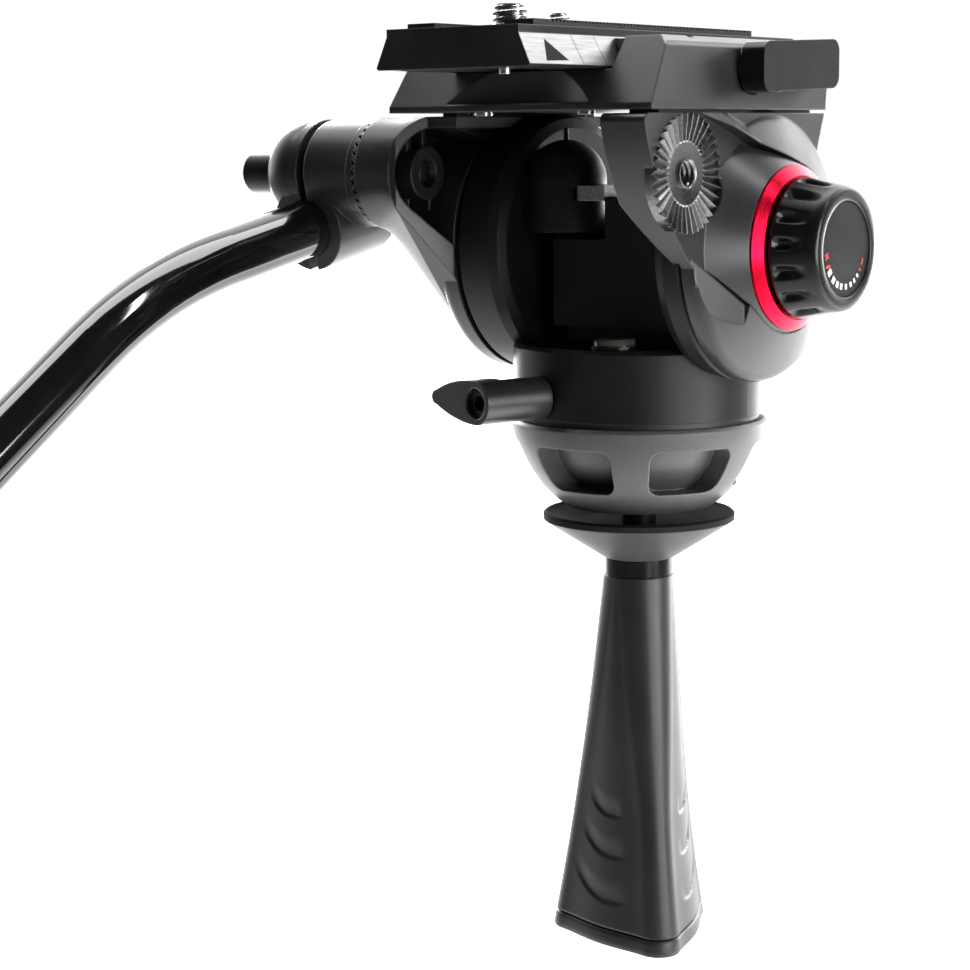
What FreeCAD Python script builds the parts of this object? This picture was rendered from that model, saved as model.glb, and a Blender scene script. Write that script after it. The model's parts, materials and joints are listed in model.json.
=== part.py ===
import FreeCAD, Part
import math
import os
import re
import Sketcher
from FreeCAD import Placement, Rotation, Vector

# Fluid pan and tilt video head on a 75 mm levelling half ball, with its bowl clamp handle.
# Millimetres. The origin is the centre of the half ball's sphere, on the pan axis.
# +Z is up, +X runs along the tilt axis to the drag knob, -Y is the operator's side.

doc = FreeCAD.newDocument("VideoHead")
sheet = doc.addObject("Spreadsheet::Sheet", "Size")

SIZES = {
    # how far a cut runs past the face that it opens, and a length that runs through any piece
    "past": 1.0, "long": 120.0,
    # fits: a pressed or screwed seat, a turning fit, a face that slides past another
    "seat_gap": 0.02, "thread_gap": 0.05, "running_gap": 0.05, "face_gap": 0.2,
    # levelling half ball
    "ball_radius": 37.5, "ball_flat_z": -31.0, "ball_rim_z": -6.4, "ball_top_z": -5.4,
    "ball_bevel": 0.9, "pocket_count": 6, "pocket_angle": 42.0, "pocket_turn": -90.0,
    "pocket_top_z": -11.5, "pocket_bottom_z": -24.5, "pocket_depth": 6.0, "pocket_corner": 3.2,
    "ball_cavity_radius": 24.0, "ball_cavity_depth": 8.6,
    # tie rod and bowl clamp handle
    "rod_radius": 5.0, "rod_end_z": -98.0, "rod_seat_depth": 9.0, "rod_tip_gap": 0.5,
    "saucer_rim_z": -33.0, "saucer_radius": 27.8, "saucer_rim": 2.2, "saucer_lip": 2.2,
    "saucer_dish": 3.2, "saucer_waist_z": -46.5, "saucer_waist_radius": 10.4,
    "saucer_bore_gap": 0.3, "saucer_hub_drop": 2.0, "saucer_flat": 8.0, "saucer_edge": 0.6,
    "saucer_lip_round": 0.8, "saucer_flare": 9.4, "saucer_flare_rise": 6.0,
    "neck_radius": 9.9, "neck_gap": 0.2,
    "handle_top_z": -51.6, "handle_bottom_z": -160.5, "handle_turn": -36.0,
    "throat_reach": 0.6, "throat_radius": 9.7, "upper_drop": 39.2, "upper_reach": 7.0,
    "upper_radius": 7.9, "middle_drop": 69.7, "middle_reach": 13.6, "middle_radius": 5.7,
    "lower_drop": 89.3, "lower_reach": 16.6, "lower_radius": 5.9, "foot_reach": 19.2,
    "foot_radius": 6.9, "insert_radius": 8.0, "insert_height": 22.0, "handle_bore_depth": 60.0,
    "handle_well_room": 0.6, "cap_height": 7.0, "cap_seam": 0.7, "cap_core_radius": 9.0,
    # pan axis
    "base_radius": 36.3, "base_bottom_z": -3.7, "base_top_z": 16.5, "base_edge": 1.2,
    "thrust_outer": 34.5, "thrust_inner": 31.0, "spindle_radius": 8.0, "spindle_room": 0.5,
    "spindle_flange": 23.6, "flange_thick": 5.6, "spindle_top_z": 11.6,
    "pan_cavity_radius": 30.0, "pan_cavity_top_z": 5.0, "drum_rim_thick": 2.6,
    "drum_floor_thick": 2.0, "drum_clear": 0.3, "case_clear": 0.4, "bush_wall": 3.0,
    "bush_height": 4.0, "circlip_radius": 10.4, "circlip_thick": 1.4, "circlip_room_z": 13.0,
    "ball_screw_circle": 17.0, "ball_screw_count": 3, "ball_screw_turn": 30.0, "ball_screw_radius": 2.5,
    "ball_screw_head": 4.2, "ball_screw_head_high": 2.6, "ball_screw_grip": 9.0,
    "ball_screw_tip_gap": 0.5,
    # pan controls
    "lock_turn": -105.0, "lock_z": 2.6, "lock_hub_radius": 6.0, "lock_hub_end": 59.2,
    "lock_wing_reach": 18.2, "lock_wing_tip": 2.0, "lock_wing_thick": 9.0,
    "lock_wing_rise": 0.4, "lock_wing_high": 5.5, "lock_wing_low": 4.8,
    "lock_hub_gap": 0.4, "lock_bolt_radius": 2.9,
    "lock_socket_radius": 2.39, "lock_socket_depth": 2.16,
    "lock_head_radius": 4.2, "lock_head_thick": 3.6, "lock_head_depth": 5.0,
    "shoe_radius": 3.9, "shoe_length": 3.0, "shoe_gap": 0.1, "drag_turn": 90.0, "drag_z": 5.6,
    "drag_knob_radius": 7.4, "drag_knob_end": 47.0, "drag_knob_gap": 0.5, "drag_knob_edge": 0.8,
    "drag_face_thick": 3.0, "drag_stem_radius": 3.0, "drag_flutes": 10, "drag_flute_half": 0.96,
    "drag_flute_depth": 0.7,
    # tilt axis and the fixed drums of the pan housing
    "tilt_z": 44.0, "drum_radius": 37.0, "drum_face": 37.2, "drum_edge": 0.8,
    "drum_inner_round": 4.0,
    "left_drum_inner": 22.5, "right_drum_inner": 28.0, "block_left": 15.8, "block_near": 20.0,
    "block_foot_z": 21.4, "block_foot_set_back": 3.0, "block_top_z": 46.0,
    "block_high_left": 2.0, "block_high_z": 58.0, "core_near": 8.0, "core_far": 26.0,
    "core_top_z": 52.0, "column_x": -14.7, "column_y": -15.0, "column_radius": 11.5,
    "column_foot_z": 48.0, "column_shoulder_z": 62.2, "column_pin_radius": 0.7,
    "column_pin_height": 3.4, "tab_left": -9.8, "tab_right": 3.2, "tab_z": 56.8,
    "tab_thick": 4.2, "tab_reach": 2.0, "tab_depth": 12.0,
    "axle_radius": 6.0, "axle_half": 44.0, "tilt_bush_wall": 3.0, "bush_length": 6.0, "axle_room": 0.9,
    "drum_cavity_radius": 31.0, "left_cavity_depth": 11.0, "right_cavity_depth": 7.2,
    "case_wall": 1.6, "case_fit": 0.2, "case_set_back": 0.6, "rotor_gap": 0.8, "brake_thick": 3.0,
    "brake_clear": 1.0, "spring_core_gap": 1.5, "spring_turns": 4, "spring_wire": 1.1,
    "spring_pitch": 4.2, "spring_width": 5.0,
    "vial_x": 9.0, "vial_y": -25.5, "vial_radius": 6.0, "vial_low_z": 14.2, "vial_top_z": 19.6,
    "vial_cup_wall": 0.9, "vial_cup_top_z": 17.4,
    # tilting arms
    "arm_face": 38.2, "arm_outer": 46.0, "arm_radius": 37.2, "arm_round": 4.5, "arm_inner": 28.0,
    "right_rim_x": 43.0, "right_rim_round": 5.0, "right_block_x": 43.2, "land_top_x": 46.4,
    "land_foot_x": 42.0, "land_spread": 5.0, "arm_top_z": 80.4, "arm_near": -59.6,
    "arm_far": 29.2, "arm_waist_y": 25.6, "arm_waist_z": 70.5, "arm_swoop_y": -51.0,
    "arm_swoop_z": 57.4, "arm_foot_y": -36.9, "arm_foot_z": 40.0, "arm_corner": 2.2,
    "arm_bevel_z": 57.0, "arm_bevel_foot_z": 37.5, "arm_shim": 3.0,
    "arm_hook_y": 7.0, "arm_hook_drop": 9.0, "arm_heel_rise": 12.0, "arm_drum_gap": 1.2,
    "shim_near_gap": 6.0, "shim_near_past": 3.0, "land_edge": 0.4,
    "ramp_near": -38.0, "ramp_far": -20.0, "boss_inset": 2.5,
    "rosette_y": -40.0, "rosette_z": 64.7, "rosette_radius": 15.6, "rosette_flat": 8.6,
    "rosette_thick": 4.0, "rosette_proud": 1.2, "tooth_count": 36, "tooth_depth": 1.3,
    "socket_radius": 4.1, "recess_floor_x": 41.8, "recess_margin": 0.9, "cone_foot": 32.5,
    "ring_seat": 50.2, "ring_outer": 22.45, "ring_inner": 19.6, "ring_front": 53.0,
    "ring_bore": 14.0, "ring_edge": 0.7,
    "left_boss_face": 58.6, "left_boss_extra": 0.6, "left_boss_taper": 0.8,
    "left_boss_shift_y": 3.0, "left_boss_shift_z": 1.5, "left_wall": 3.0, "left_belt": 34.0,
    "room_shift_y": 18.0, "room_drop": 9.3, "room_spread": 2.0, "rib_offset": 3.4,
    "rib_thick": 1.6, "rib_run": 8.0, "rib_height": 20.0, "low_rib_y": 4.0,
    "low_rib_thick": 1.8, "low_rib_run": 9.0, "low_rib_drop": 21.0, "web_past": 4.0,
    "left_boss_bore": 7.4, "left_rim_near": -53.0, "left_web_inner": 31.0, "left_web_thick": 3.2,
    "left_blade_near": -30.0, "arm_screw_x": 35.4, "arm_screw_radius": 2.0,
    "arm_screw_head": 3.5, "arm_screw_head_high": 4.0, "arm_screw_socket": 1.6,
    "arm_screw_socket_up": 2.0, "screw_head_room": 0.2, "screw_tip_room": 0.5,
    "arm_screw_head_z": 90.0, "arm_screw_tip_z": 77.0,
    "arm_screw_near": -34.0, "arm_screw_far": 21.0, "under_screw_x": 17.0,
    "under_screw_y": -50.0, "under_screw_radius": 1.5, "under_screw_head": 2.4,
    "under_screw_head_high": 1.0, "under_screw_depth": 5.9, "under_screw_tip_gap": 0.1,
    # tilt drag knob
    "knob_start": 53.6, "knob_end": 67.2, "knob_root_radius": 19.2, "knob_end_radius": 16.6,
    "knob_flutes": 15, "flute_width": 3.6, "dial_radius": 12.7, "dial_sink": 0.5,
    "dial_thick": 1.6, "dial_gap": 0.1, "knob_edge": 1.2, "knob_edge_step": 0.3,
    "knob_edge_round": 1.0, "flute_depth": 1.7, "flute_end": 3.4, "flute_run_out": 0.9,
    "flute_clear": 4.0, "stem_radius": 4.0, "stem_start": 45.2,
    # tilt lock lever
    "tilt_lock_start": 46.6, "tilt_lock_hub": 7.0, "tilt_lock_thick": 8.4,
    "tilt_lock_reach": 21.0, "lever_room": 1.0, "tilt_lock_tip": 3.0, "tilt_lock_turn": 25.0,
    "tilt_lock_step": 2.9, "tilt_lock_waist": 1.0, "tilt_lock_skin": 2.5, "tilt_stem_radius": 3.0,
    "tilt_stem_gap": 0.3, "stem_tip_gap": 0.1,
    # camera platform
    "platform_bottom_z": 81.25, "platform_half": 43.2, "platform_near": -58.5,
    "platform_far": 29.8, "jaw_top_z": 100.2, "jaw_half": 41.0, "platform_rake": 11.0,
    "platform_far_rake": 6.0, "platform_foot": 1.6,
    "channel_floor_z": 91.7, "jaw_mouth": 27.0, "jaw_mouth_top": 28.0, "jaw_bevel": 2.6,
    "near_scoop_radius": 45.0, "near_scoop_depth": 7.0,
    "near_scoop_skin": 2.0, "jaw_bevel_out": 0.2,
    # sliding camera plate
    "plate_near": -85.1, "plate_far": 53.9, "plate_top_z": 102.3, "plate_bottom_z": 91.9,
    "plate_top_half": 21.3, "plate_foot_half": 24.9, "plate_lip": 2.0, "plate_corner": 6.0,
    "dovetail_gap": 0.3, "foot_bevel": 0.6, "slot_room": 0.4, "slot_depth": 5.2, "slot_half": 9.4,
    "pad_near": -77.6, "pad_far": 27.0, "pad_inner": 11.4, "pad_outer": 20.4, "pad_high": 1.6,
    "pad_rib": 1.6, "pad_border": 8.0, "pad_groove": 0.72, "pad_groove_depth": 0.6, "pad_sink": 0.8,
    "stop_pin_radius": 1.5, "stop_pin_high": 3.0, "stop_pin_proud": 1.4, "stop_pin_x": 8.0,
    "stop_near_inset": 12.0, "stop_far_inset": 4.0,
    "big_screw_y": -60.3, "big_screw_radius": 4.7, "big_screw_top_z": 109.2,
    "small_screw_y": -38.5, "small_screw_radius": 3.15, "small_screw_top_z": 107.6,
    "screw_head_radius": 8.4, "screw_head_thick": 3.6, "screw_head_up": 0.5,
    "screw_slot_wide": 1.6, "screw_slot_deep": 1.3, "screw_neck_cut": 0.9,
    "screw_thread_up": 0.3, "screw_washer_thick": 0.9, "screw_washer_gap": 0.1,
    "big_slot_near": -68.0, "big_slot_far": -53.0, "small_slot_near": -45.0,
    "small_slot_far": 20.0, "thread_pitch": 1.5875, "small_pitch": 1.27, "thread_depth": 0.7,
    # plate clamp
    "gib_near": -44.0, "gib_far": 26.0, "gib_room": 1.1, "gib_float": 0.1, "gib_top_gap": 0.4,
    "clamp_y": -9.5, "clamp_z": 92.3, "clamp_start": 43.6, "clamp_thick": 7.0,
    "clamp_hub_radius": 6.7, "clamp_corner": 3.4, "clamp_reach": 33.5, "clamp_stem_radius": 3.5,
    "clamp_stem_end": 28.8, "clamp_hub_back": 1.4, "clamp_rise": 1.6, "clamp_skin": 2.0,
    "clamp_hub_room": 0.5, "clamp_stem_room": 3.0, "catch_y": 6.0, "catch_radius": 3.6, "catch_out": 2.6,
    "catch_travel": 2.2, "catch_spring_radius": 2.4, "catch_pocket": 9.0, "catch_z": 88.0,
    "catch_recess": 1.0, "catch_spring_length": 3.0, "catch_spring_wall": 0.7,
    # pan bar and its clamp
    "bar_x": -80.0, "bar_drop": 13.2, "bar_radius": 8.25, "bar_dip": 11.6, "bar_tail": 20.0,
    "bar_lead": 48.0, "bar_bend_radius": 140.0, "bar_bend": 22.6, "bar_end": 215.0,
    "bar_wall": 1.5, "grip_radius": 13.5, "grip_length": 115.0, "grip_overrun": 4.0, "grip_round": 3.0,
    "plug_thick": 4.0, "plug_cap": 1.6, "clamp_gap": 3.0, "clamp_body_start": 62.7,
    "clamp_radius": 15.4, "clamp_collar_radius": 12.4, "clamp_collar_half": 12.5, "dome_end": 98.0,
    "dome_end_radius": 8.6, "dome_knee": 3.0, "dome_shoulder": 11.9, "dome_swell": 1.6,
    "clamp_bolt_radius": 4.0, "bolt_head_radius": 6.0, "bolt_head_end": 112.0,
    "bolt_head_gap": 0.1, "bolt_head_round": 1.0, "bolt_past": 1.0, "bolt_tip": 49.0,
    "bolt_socket": 2.9, "bolt_socket_depth": 5.0,
}


def fill_sheet():
    """Writes every driving size to the sheet, with its name as the alias."""
    for row, (alias, value) in enumerate(SIZES.items(), start=1):
        sheet.set(f"A{row}", alias)
        sheet.set(f"B{row}", str(value))
        sheet.setAlias(f"B{row}", alias)
    doc.recompute()


class Sheet:
    """Reads a size back from the sheet by its name."""

    def __getattr__(self, alias):
        return float(sheet.get(alias))


fill_sheet()
S = Sheet()
ROUND = 0.29  # how far the middle of a quarter round stands in from its corner, as a share of its radius
NODES = []
WORD = re.compile(r"[a-z][a-z0-9_]*")
ALONG = {
    "X": Rotation(Vector(0, 1, 0), 90),
    "Y": Rotation(Vector(1, 0, 0), -90),
    "Z": Rotation(),
}


def formula(text):
    """Adds the sheet's name to each size that a formula names."""
    return WORD.sub(lambda m: "Size." + m.group() if m.group() in SIZES else m.group(), str(text))


def bind(obj, **formulas):
    """Ties properties of an object to formulas of the sheet's sizes."""
    for key, text in formulas.items():
        obj.setExpression(key.replace("__", "."), formula(text))
    return obj


def place(obj, x="0", y="0", z="0"):
    """Ties an object's position to the sheet."""
    return bind(obj, Placement__Base__x=x, Placement__Base__y=y, Placement__Base__z=z)


def node(label, obj):
    """Names a finished piece; its label is also the name of its file."""
    obj.Label = label
    NODES.append(obj)
    return obj


# ---- primitives and booleans ------------------------------------------------------------------


def cylinder(radius, height, x="0", y="0", z="0", along="Z", turn=None):
    """A cylinder that starts at (x, y, z) and runs along an axis, or along a given rotation."""
    obj = doc.addObject("Part::Cylinder", "Cylinder")
    obj.Placement = Placement(Vector(), turn or ALONG[along])
    bind(obj, Radius=radius, Height=height)
    return place(obj, x, y, z)


def cone(radius1, radius2, height, x="0", y="0", z="0", along="Z"):
    obj = doc.addObject("Part::Cone", "Cone")
    obj.Placement = Placement(Vector(), ALONG[along])
    bind(obj, Radius1=radius1, Radius2=radius2, Height=height)
    return place(obj, x, y, z)


def box(x0, x1, y0, y1, z0, z1):
    """A box between two corners."""
    obj = doc.addObject("Part::Box", "Box")
    bind(obj, Length=f"({x1})-({x0})", Width=f"({y1})-({y0})", Height=f"({z1})-({z0})")
    return place(obj, x0, y0, z0)


def sphere(radius, x="0", y="0", z="0"):
    return place(bind(doc.addObject("Part::Sphere", "Sphere"), Radius=radius), x, y, z)


def fuse(*shapes):
    obj = doc.addObject("Part::MultiFuse", "Fusion")
    obj.Shapes = list(shapes)
    obj.Refine = True
    return obj


def common(*shapes):
    obj = doc.addObject("Part::MultiCommon", "Common")
    obj.Shapes = list(shapes)
    return obj


def cut(base, *tools):
    obj = doc.addObject("Part::Cut", "Cut")
    obj.Base = base
    obj.Tool = tools[0] if len(tools) == 1 else fuse(*tools)
    obj.Refine = True
    return obj


def tube(outer, inner, height, x="0", y="0", z="0", along="Z"):
    return cut(cylinder(outer, height, x, y, z, along), cylinder(inner, height, x, y, z, along))


def draw(sketch, outline):
    """Draws a closed polygon whose every corner is held by formulas of the sheet."""
    for index in range(len(outline)):
        a = Vector(10 * math.cos(index), 10 * math.sin(index), 0)
        b = Vector(10 * math.cos(index + 1), 10 * math.sin(index + 1), 0)
        sketch.addGeometry(Part.LineSegment(a, b), False)
    count = len(outline)
    for index in range(count):
        sketch.addConstraint(Sketcher.Constraint("Coincident", index, 2, (index + 1) % count, 1))
    for index, (u, v) in enumerate(outline):
        for kind, text in (("DistanceX", u), ("DistanceY", v)):
            number = sketch.addConstraint(Sketcher.Constraint(kind, -1, 1, index, 1, 1.0))
            sketch.setExpression(f"Constraints[{number}]", formula(text))


# ---- PartDesign bodies ------------------------------------------------------------------------


def body_sketch(body, role, outline, name="Outline"):
    """A sketch of a closed polygon on one of the body's own origin planes."""
    sketch = body.newObject("Sketcher::SketchObject", name)
    plane = next(f for f in body.Origin.OriginFeatures if f.Role == role)
    sketch.AttachmentSupport = [(plane, "")]
    sketch.MapMode = "FlatFace"
    draw(sketch, outline)
    return sketch


def turned(label, axis, outline):
    """A body turned about its own X or Z axis; the outline gives (along, radius) or (radius, z)."""
    body = doc.addObject("PartDesign::Body", label)
    sketch = body_sketch(body, "XZ_Plane", outline)
    turn = body.newObject("PartDesign::Revolution", "Turn")
    turn.Profile = sketch
    turn.ReferenceAxis = (sketch, ["H_Axis" if axis == "X" else "V_Axis"])
    turn.Angle = 360.0
    body.Tip = turn
    return body


def polar(body, feature, axis_name, count):
    """Repeats a feature about one of the body's axes and makes the pattern the tip."""
    pattern = body.newObject("PartDesign::PolarPattern", "Pattern")
    pattern.Originals = [feature]
    axis = next(f for f in body.Origin.OriginFeatures if f.Role == axis_name)
    pattern.Axis = (axis, [""])
    pattern.Angle = 360.0
    bind(pattern, Occurrences=count)
    body.Tip = pattern
    return pattern


def bored(body, role, outline, name="Cut", reverse=False):
    """Cuts a closed outline right through the body."""
    sketch = body_sketch(body, role, outline, name + "Outline")
    pocket = body.newObject("PartDesign::Pocket", name)
    pocket.Profile = sketch
    pocket.Type = "ThroughAll"
    pocket.Midplane = True
    pocket.Reversed = reverse
    body.Tip = pocket
    return pocket


# ---- free shapes, which read their sizes from the sheet ---------------------------------------


def shaped(label, shape, x=0.0, y=0.0, z=0.0):
    """A piece whose form is worked out here; its placement is set after its shape."""
    obj = doc.addObject("Part::Feature", label)
    obj.Shape = shape
    obj.Placement = Placement(Vector(x, y, z), Rotation()).multiply(shape.Placement)
    return obj


def disc(radius, start, length, y=0.0, z=0.0):
    """A cylinder along +X that starts at x = start."""
    return Part.makeCylinder(radius, length, Vector(start, y, z), Vector(1, 0, 0))


def hull_wire(x, circle_a, circle_b):
    """The belt round two circles (y, z, radius) in the plane at x."""
    (ya, za, ra), (yb, zb, rb) = circle_a, circle_b
    span = math.hypot(yb - ya, zb - za)
    heading = math.atan2(zb - za, yb - ya)
    lean = math.acos((ra - rb) / span)

    def on(y, z, r, angle):
        return Vector(x, y + r * math.cos(angle), z + r * math.sin(angle))

    a1, a2 = on(ya, za, ra, heading + lean), on(ya, za, ra, heading - lean)
    b1, b2 = on(yb, zb, rb, heading + lean), on(yb, zb, rb, heading - lean)
    far_a, far_b = on(ya, za, ra, heading + math.pi), on(yb, zb, rb, heading)
    return Part.Wire([
        Part.Arc(a1, far_a, a2).toShape(), Part.LineSegment(a2, b2).toShape(),
        Part.Arc(b2, far_b, b1).toShape(), Part.LineSegment(b1, a1).toShape(),
    ])


def hull(x0, x1, circle_a, circle_b):
    """A straight solid along X with the belt round two circles as its outline."""
    return Part.Face(hull_wire(x0, circle_a, circle_b)).extrude(Vector(x1 - x0, 0, 0))


def along_x(edge):
    box = edge.BoundBox
    return box.YLength < S.past and box.ZLength < S.past


def rounded_edges(shape, radius, pick):
    """Fillets the edges that a test picks."""
    return shape.makeFillet(radius, [e for e in shape.Edges if pick(e)]).Solids[0]


def knurl_teeth(face_x, outward, outer, inner, depth, count):
    """Radial V grooves round the X axis, cut into the ring face at face_x."""
    half = math.tan(math.pi / count)
    grooves = []
    for index in range(int(count)):
        rim = outer * 1.06
        points = []
        for radius, deep in ((inner, depth * 0.55), (rim, depth)):
            width = radius * half * 0.98
            points.append([
                Vector(face_x + outward * 0.2, -width, radius),
                Vector(face_x + outward * 0.2, width, radius),
                Vector(face_x - outward * deep, 0, radius),
            ])
        wires = [Part.makePolygon(p + [p[0]]) for p in points]
        groove = Part.makeLoft(wires, True, True)
        groove.rotate(Vector(), Vector(1, 0, 0), 360.0 * index / count)
        grooves.append(groove)
    return grooves


def rosette(face_x, outward):
    """A toothed steel ring on the X axis whose teeth stand at face_x and point outward."""
    back = face_x - outward * S.rosette_thick
    ring = Part.makeCylinder(S.rosette_radius, S.rosette_thick, Vector(back, 0, 0), Vector(outward, 0, 0))
    bore = Part.makeCylinder(S.socket_radius, S.rosette_thick, Vector(back, 0, 0), Vector(outward, 0, 0))
    teeth = knurl_teeth(face_x, outward, S.rosette_radius, S.rosette_flat, S.tooth_depth, S.tooth_count)
    return ring.cut(bore).cut(Part.makeCompound(teeth))


def screw_thread(radius, pitch, depth, z0, z1):
    """A shaft with ring grooves at the pitch of its thread."""
    points = [Vector(0, 0, z0), Vector(radius, 0, z0)]
    turns = int((z1 - z0 - 2 * depth) / pitch)
    for turn in range(turns):
        low = z0 + depth + turn * pitch
        points += [
            Vector(radius, 0, low + 0.15 * pitch),
            Vector(radius - depth, 0, low + 0.5 * pitch),
            Vector(radius, 0, low + 0.85 * pitch),
        ]
    points += [Vector(radius, 0, z1 - depth), Vector(radius - depth, 0, z1), Vector(0, 0, z1)]
    face = Part.Face(Part.makePolygon(points + [points[0]]))
    return face.revolve(Vector(), Vector(0, 0, 1), 360)


# ---- levelling half ball and what is fixed to it ----------------------------------------------


def pocket_tool(turn):
    """One hand pocket of the half ball: a sector with round corners, down to an inner sphere."""
    height = S.pocket_top_z - S.pocket_bottom_z
    reach = S.ball_radius + S.past
    low = Vector(0, 0, S.pocket_bottom_z)
    sector = Part.makeCylinder(reach, height, low, Vector(0, 0, 1), S.pocket_angle)
    sector.rotate(Vector(), Vector(0, 0, 1), turn - S.pocket_angle / 2)
    tool = sector.cut(Part.makeSphere(S.ball_radius - S.pocket_depth))

    def is_corner(edge):
        a, b = edge.Vertexes[0].Point, edge.Vertexes[-1].Point
        radii = (math.hypot(a.x, a.y), math.hypot(b.x, b.y))
        flat = abs(a.z - b.z) < 0.01
        return flat and abs(radii[0] - radii[1]) > 2.0

    return rounded_edges(tool, S.pocket_corner, is_corner)


def make_half_ball():
    z_flat, rim, top = S.ball_flat_z, S.ball_rim_z, S.ball_top_z
    rim_radius = math.sqrt(S.ball_radius ** 2 - rim ** 2)
    band = Part.makeCylinder(S.ball_radius + S.past, rim - z_flat, Vector(0, 0, z_flat))
    ball = Part.makeSphere(S.ball_radius).common(band)
    bevel = Part.makeCone(rim_radius, rim_radius - S.ball_bevel, top - rim, Vector(0, 0, rim))
    ball = ball.fuse(bevel)
    cavity_z = top - S.ball_cavity_depth
    ball = ball.cut(Part.makeCylinder(S.ball_cavity_radius, S.ball_cavity_depth, Vector(0, 0, cavity_z)))
    seat = Part.makeCylinder(S.rod_radius + S.thread_gap, S.rod_seat_depth, Vector(0, 0, z_flat))
    ball = ball.cut(seat)
    for index in range(int(S.ball_screw_count)):
        x, y = on_circle(S.ball_screw_circle, 360.0 * index / S.ball_screw_count + S.ball_screw_turn)
        depth = S.ball_screw_grip + S.ball_screw_tip_gap
        hole = Part.makeCylinder(S.ball_screw_radius + S.thread_gap, depth, Vector(x, y, cavity_z - depth))
        ball = ball.cut(hole)
    for index in range(int(S.pocket_count)):
        ball = ball.cut(pocket_tool(S.pocket_turn + 360.0 * index / S.pocket_count))
    node("half_ball", shaped("HalfBall", ball))


def on_circle(radius, degrees):
    angle = math.radians(degrees)
    return radius * math.cos(angle), radius * math.sin(angle)


def make_pan_axis():
    """The spindle that stands on the half ball, and the parts that turn or brake on it."""
    rod = cylinder("rod_radius", "ball_flat_z+rod_seat_depth-rod_tip_gap-rod_end_z", z="rod_end_z")
    node("tie_rod", rod)
    floor_z = "ball_top_z-ball_cavity_depth"
    spindle = turned("Spindle", "Z", [
        ("0", floor_z), ("spindle_flange", floor_z), ("spindle_flange", f"{floor_z}+flange_thick"),
        ("spindle_radius", f"{floor_z}+flange_thick"), ("spindle_radius", "spindle_top_z"),
        ("0", "spindle_top_z"),
    ])
    holes = []
    screws = []
    head_z = f"{floor_z}+flange_thick"
    for index in range(int(S.ball_screw_count)):
        turn = 360.0 * index / S.ball_screw_count + S.ball_screw_turn
        x, y = (f"ball_screw_circle*cos({turn} deg)", f"ball_screw_circle*sin({turn} deg)")
        holes.append(cylinder("ball_screw_radius+thread_gap", "flange_thick", x, y, floor_z))
        shank = cylinder("ball_screw_radius", "flange_thick+ball_screw_grip", x, y,
                         f"{floor_z}-ball_screw_grip")
        head = cylinder("ball_screw_head", "ball_screw_head_high", x, y, head_z)
        screws.append(fuse(shank, head))
    node("pan_spindle", cut(spindle, *holes))
    node("half_ball_screws", group(screws))
    node("pan_thrust_ring", tube("thrust_outer", "thrust_inner",
                                 "base_bottom_z-face_gap-ball_top_z", z="ball_top_z"))
    low = "base_bottom_z+drum_clear"
    outer = "pan_cavity_radius-drum_clear"
    drum = fuse(
        cylinder(outer, "drum_floor_thick", z=low),
        tube(outer, f"{outer}-drum_rim_thick", f"pan_cavity_top_z-case_clear-({low})", z=low))
    node("pan_brake_drum", cut(drum, cylinder("spindle_radius+seat_gap", "drum_floor_thick", z=low)))
    case_z = f"{low}+drum_floor_thick+case_clear"
    node("pan_damper_case", tube(f"{outer}-drum_rim_thick-case_clear", "spindle_radius+spindle_room",
                                 f"pan_cavity_top_z-({case_z})", z=case_z))
    node("pan_bush", tube("spindle_radius+running_gap+bush_wall", "spindle_radius+running_gap",
                          "bush_height", z="pan_cavity_top_z"))
    node("spindle_circlip", tube("circlip_radius", "spindle_radius+seat_gap", "circlip_thick",
                                 z="pan_cavity_top_z+bush_height+face_gap"))


def group(shapes):
    """Several identical pieces in one node."""
    obj = doc.addObject("Part::Compound", "Group")
    obj.Links = list(shapes)
    return obj


# ---- pan housing ------------------------------------------------------------------------------


def radial(turn):
    """The rotation that points a cylinder's axis outwards from the pan axis."""
    return Rotation(Vector(0, 0, 1), turn).multiply(ALONG["X"])


def radial_cylinder(radius, start, end, turn_name, z):
    """A cylinder that points outwards from the pan axis between two distances."""
    turn = float(sheet.get(turn_name))
    x, y = f"({start})*cos({turn_name}*1 deg)", f"({start})*sin({turn_name}*1 deg)"
    return cylinder(radius, f"({end})-({start})", x, y, z, turn=radial(turn))


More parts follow.
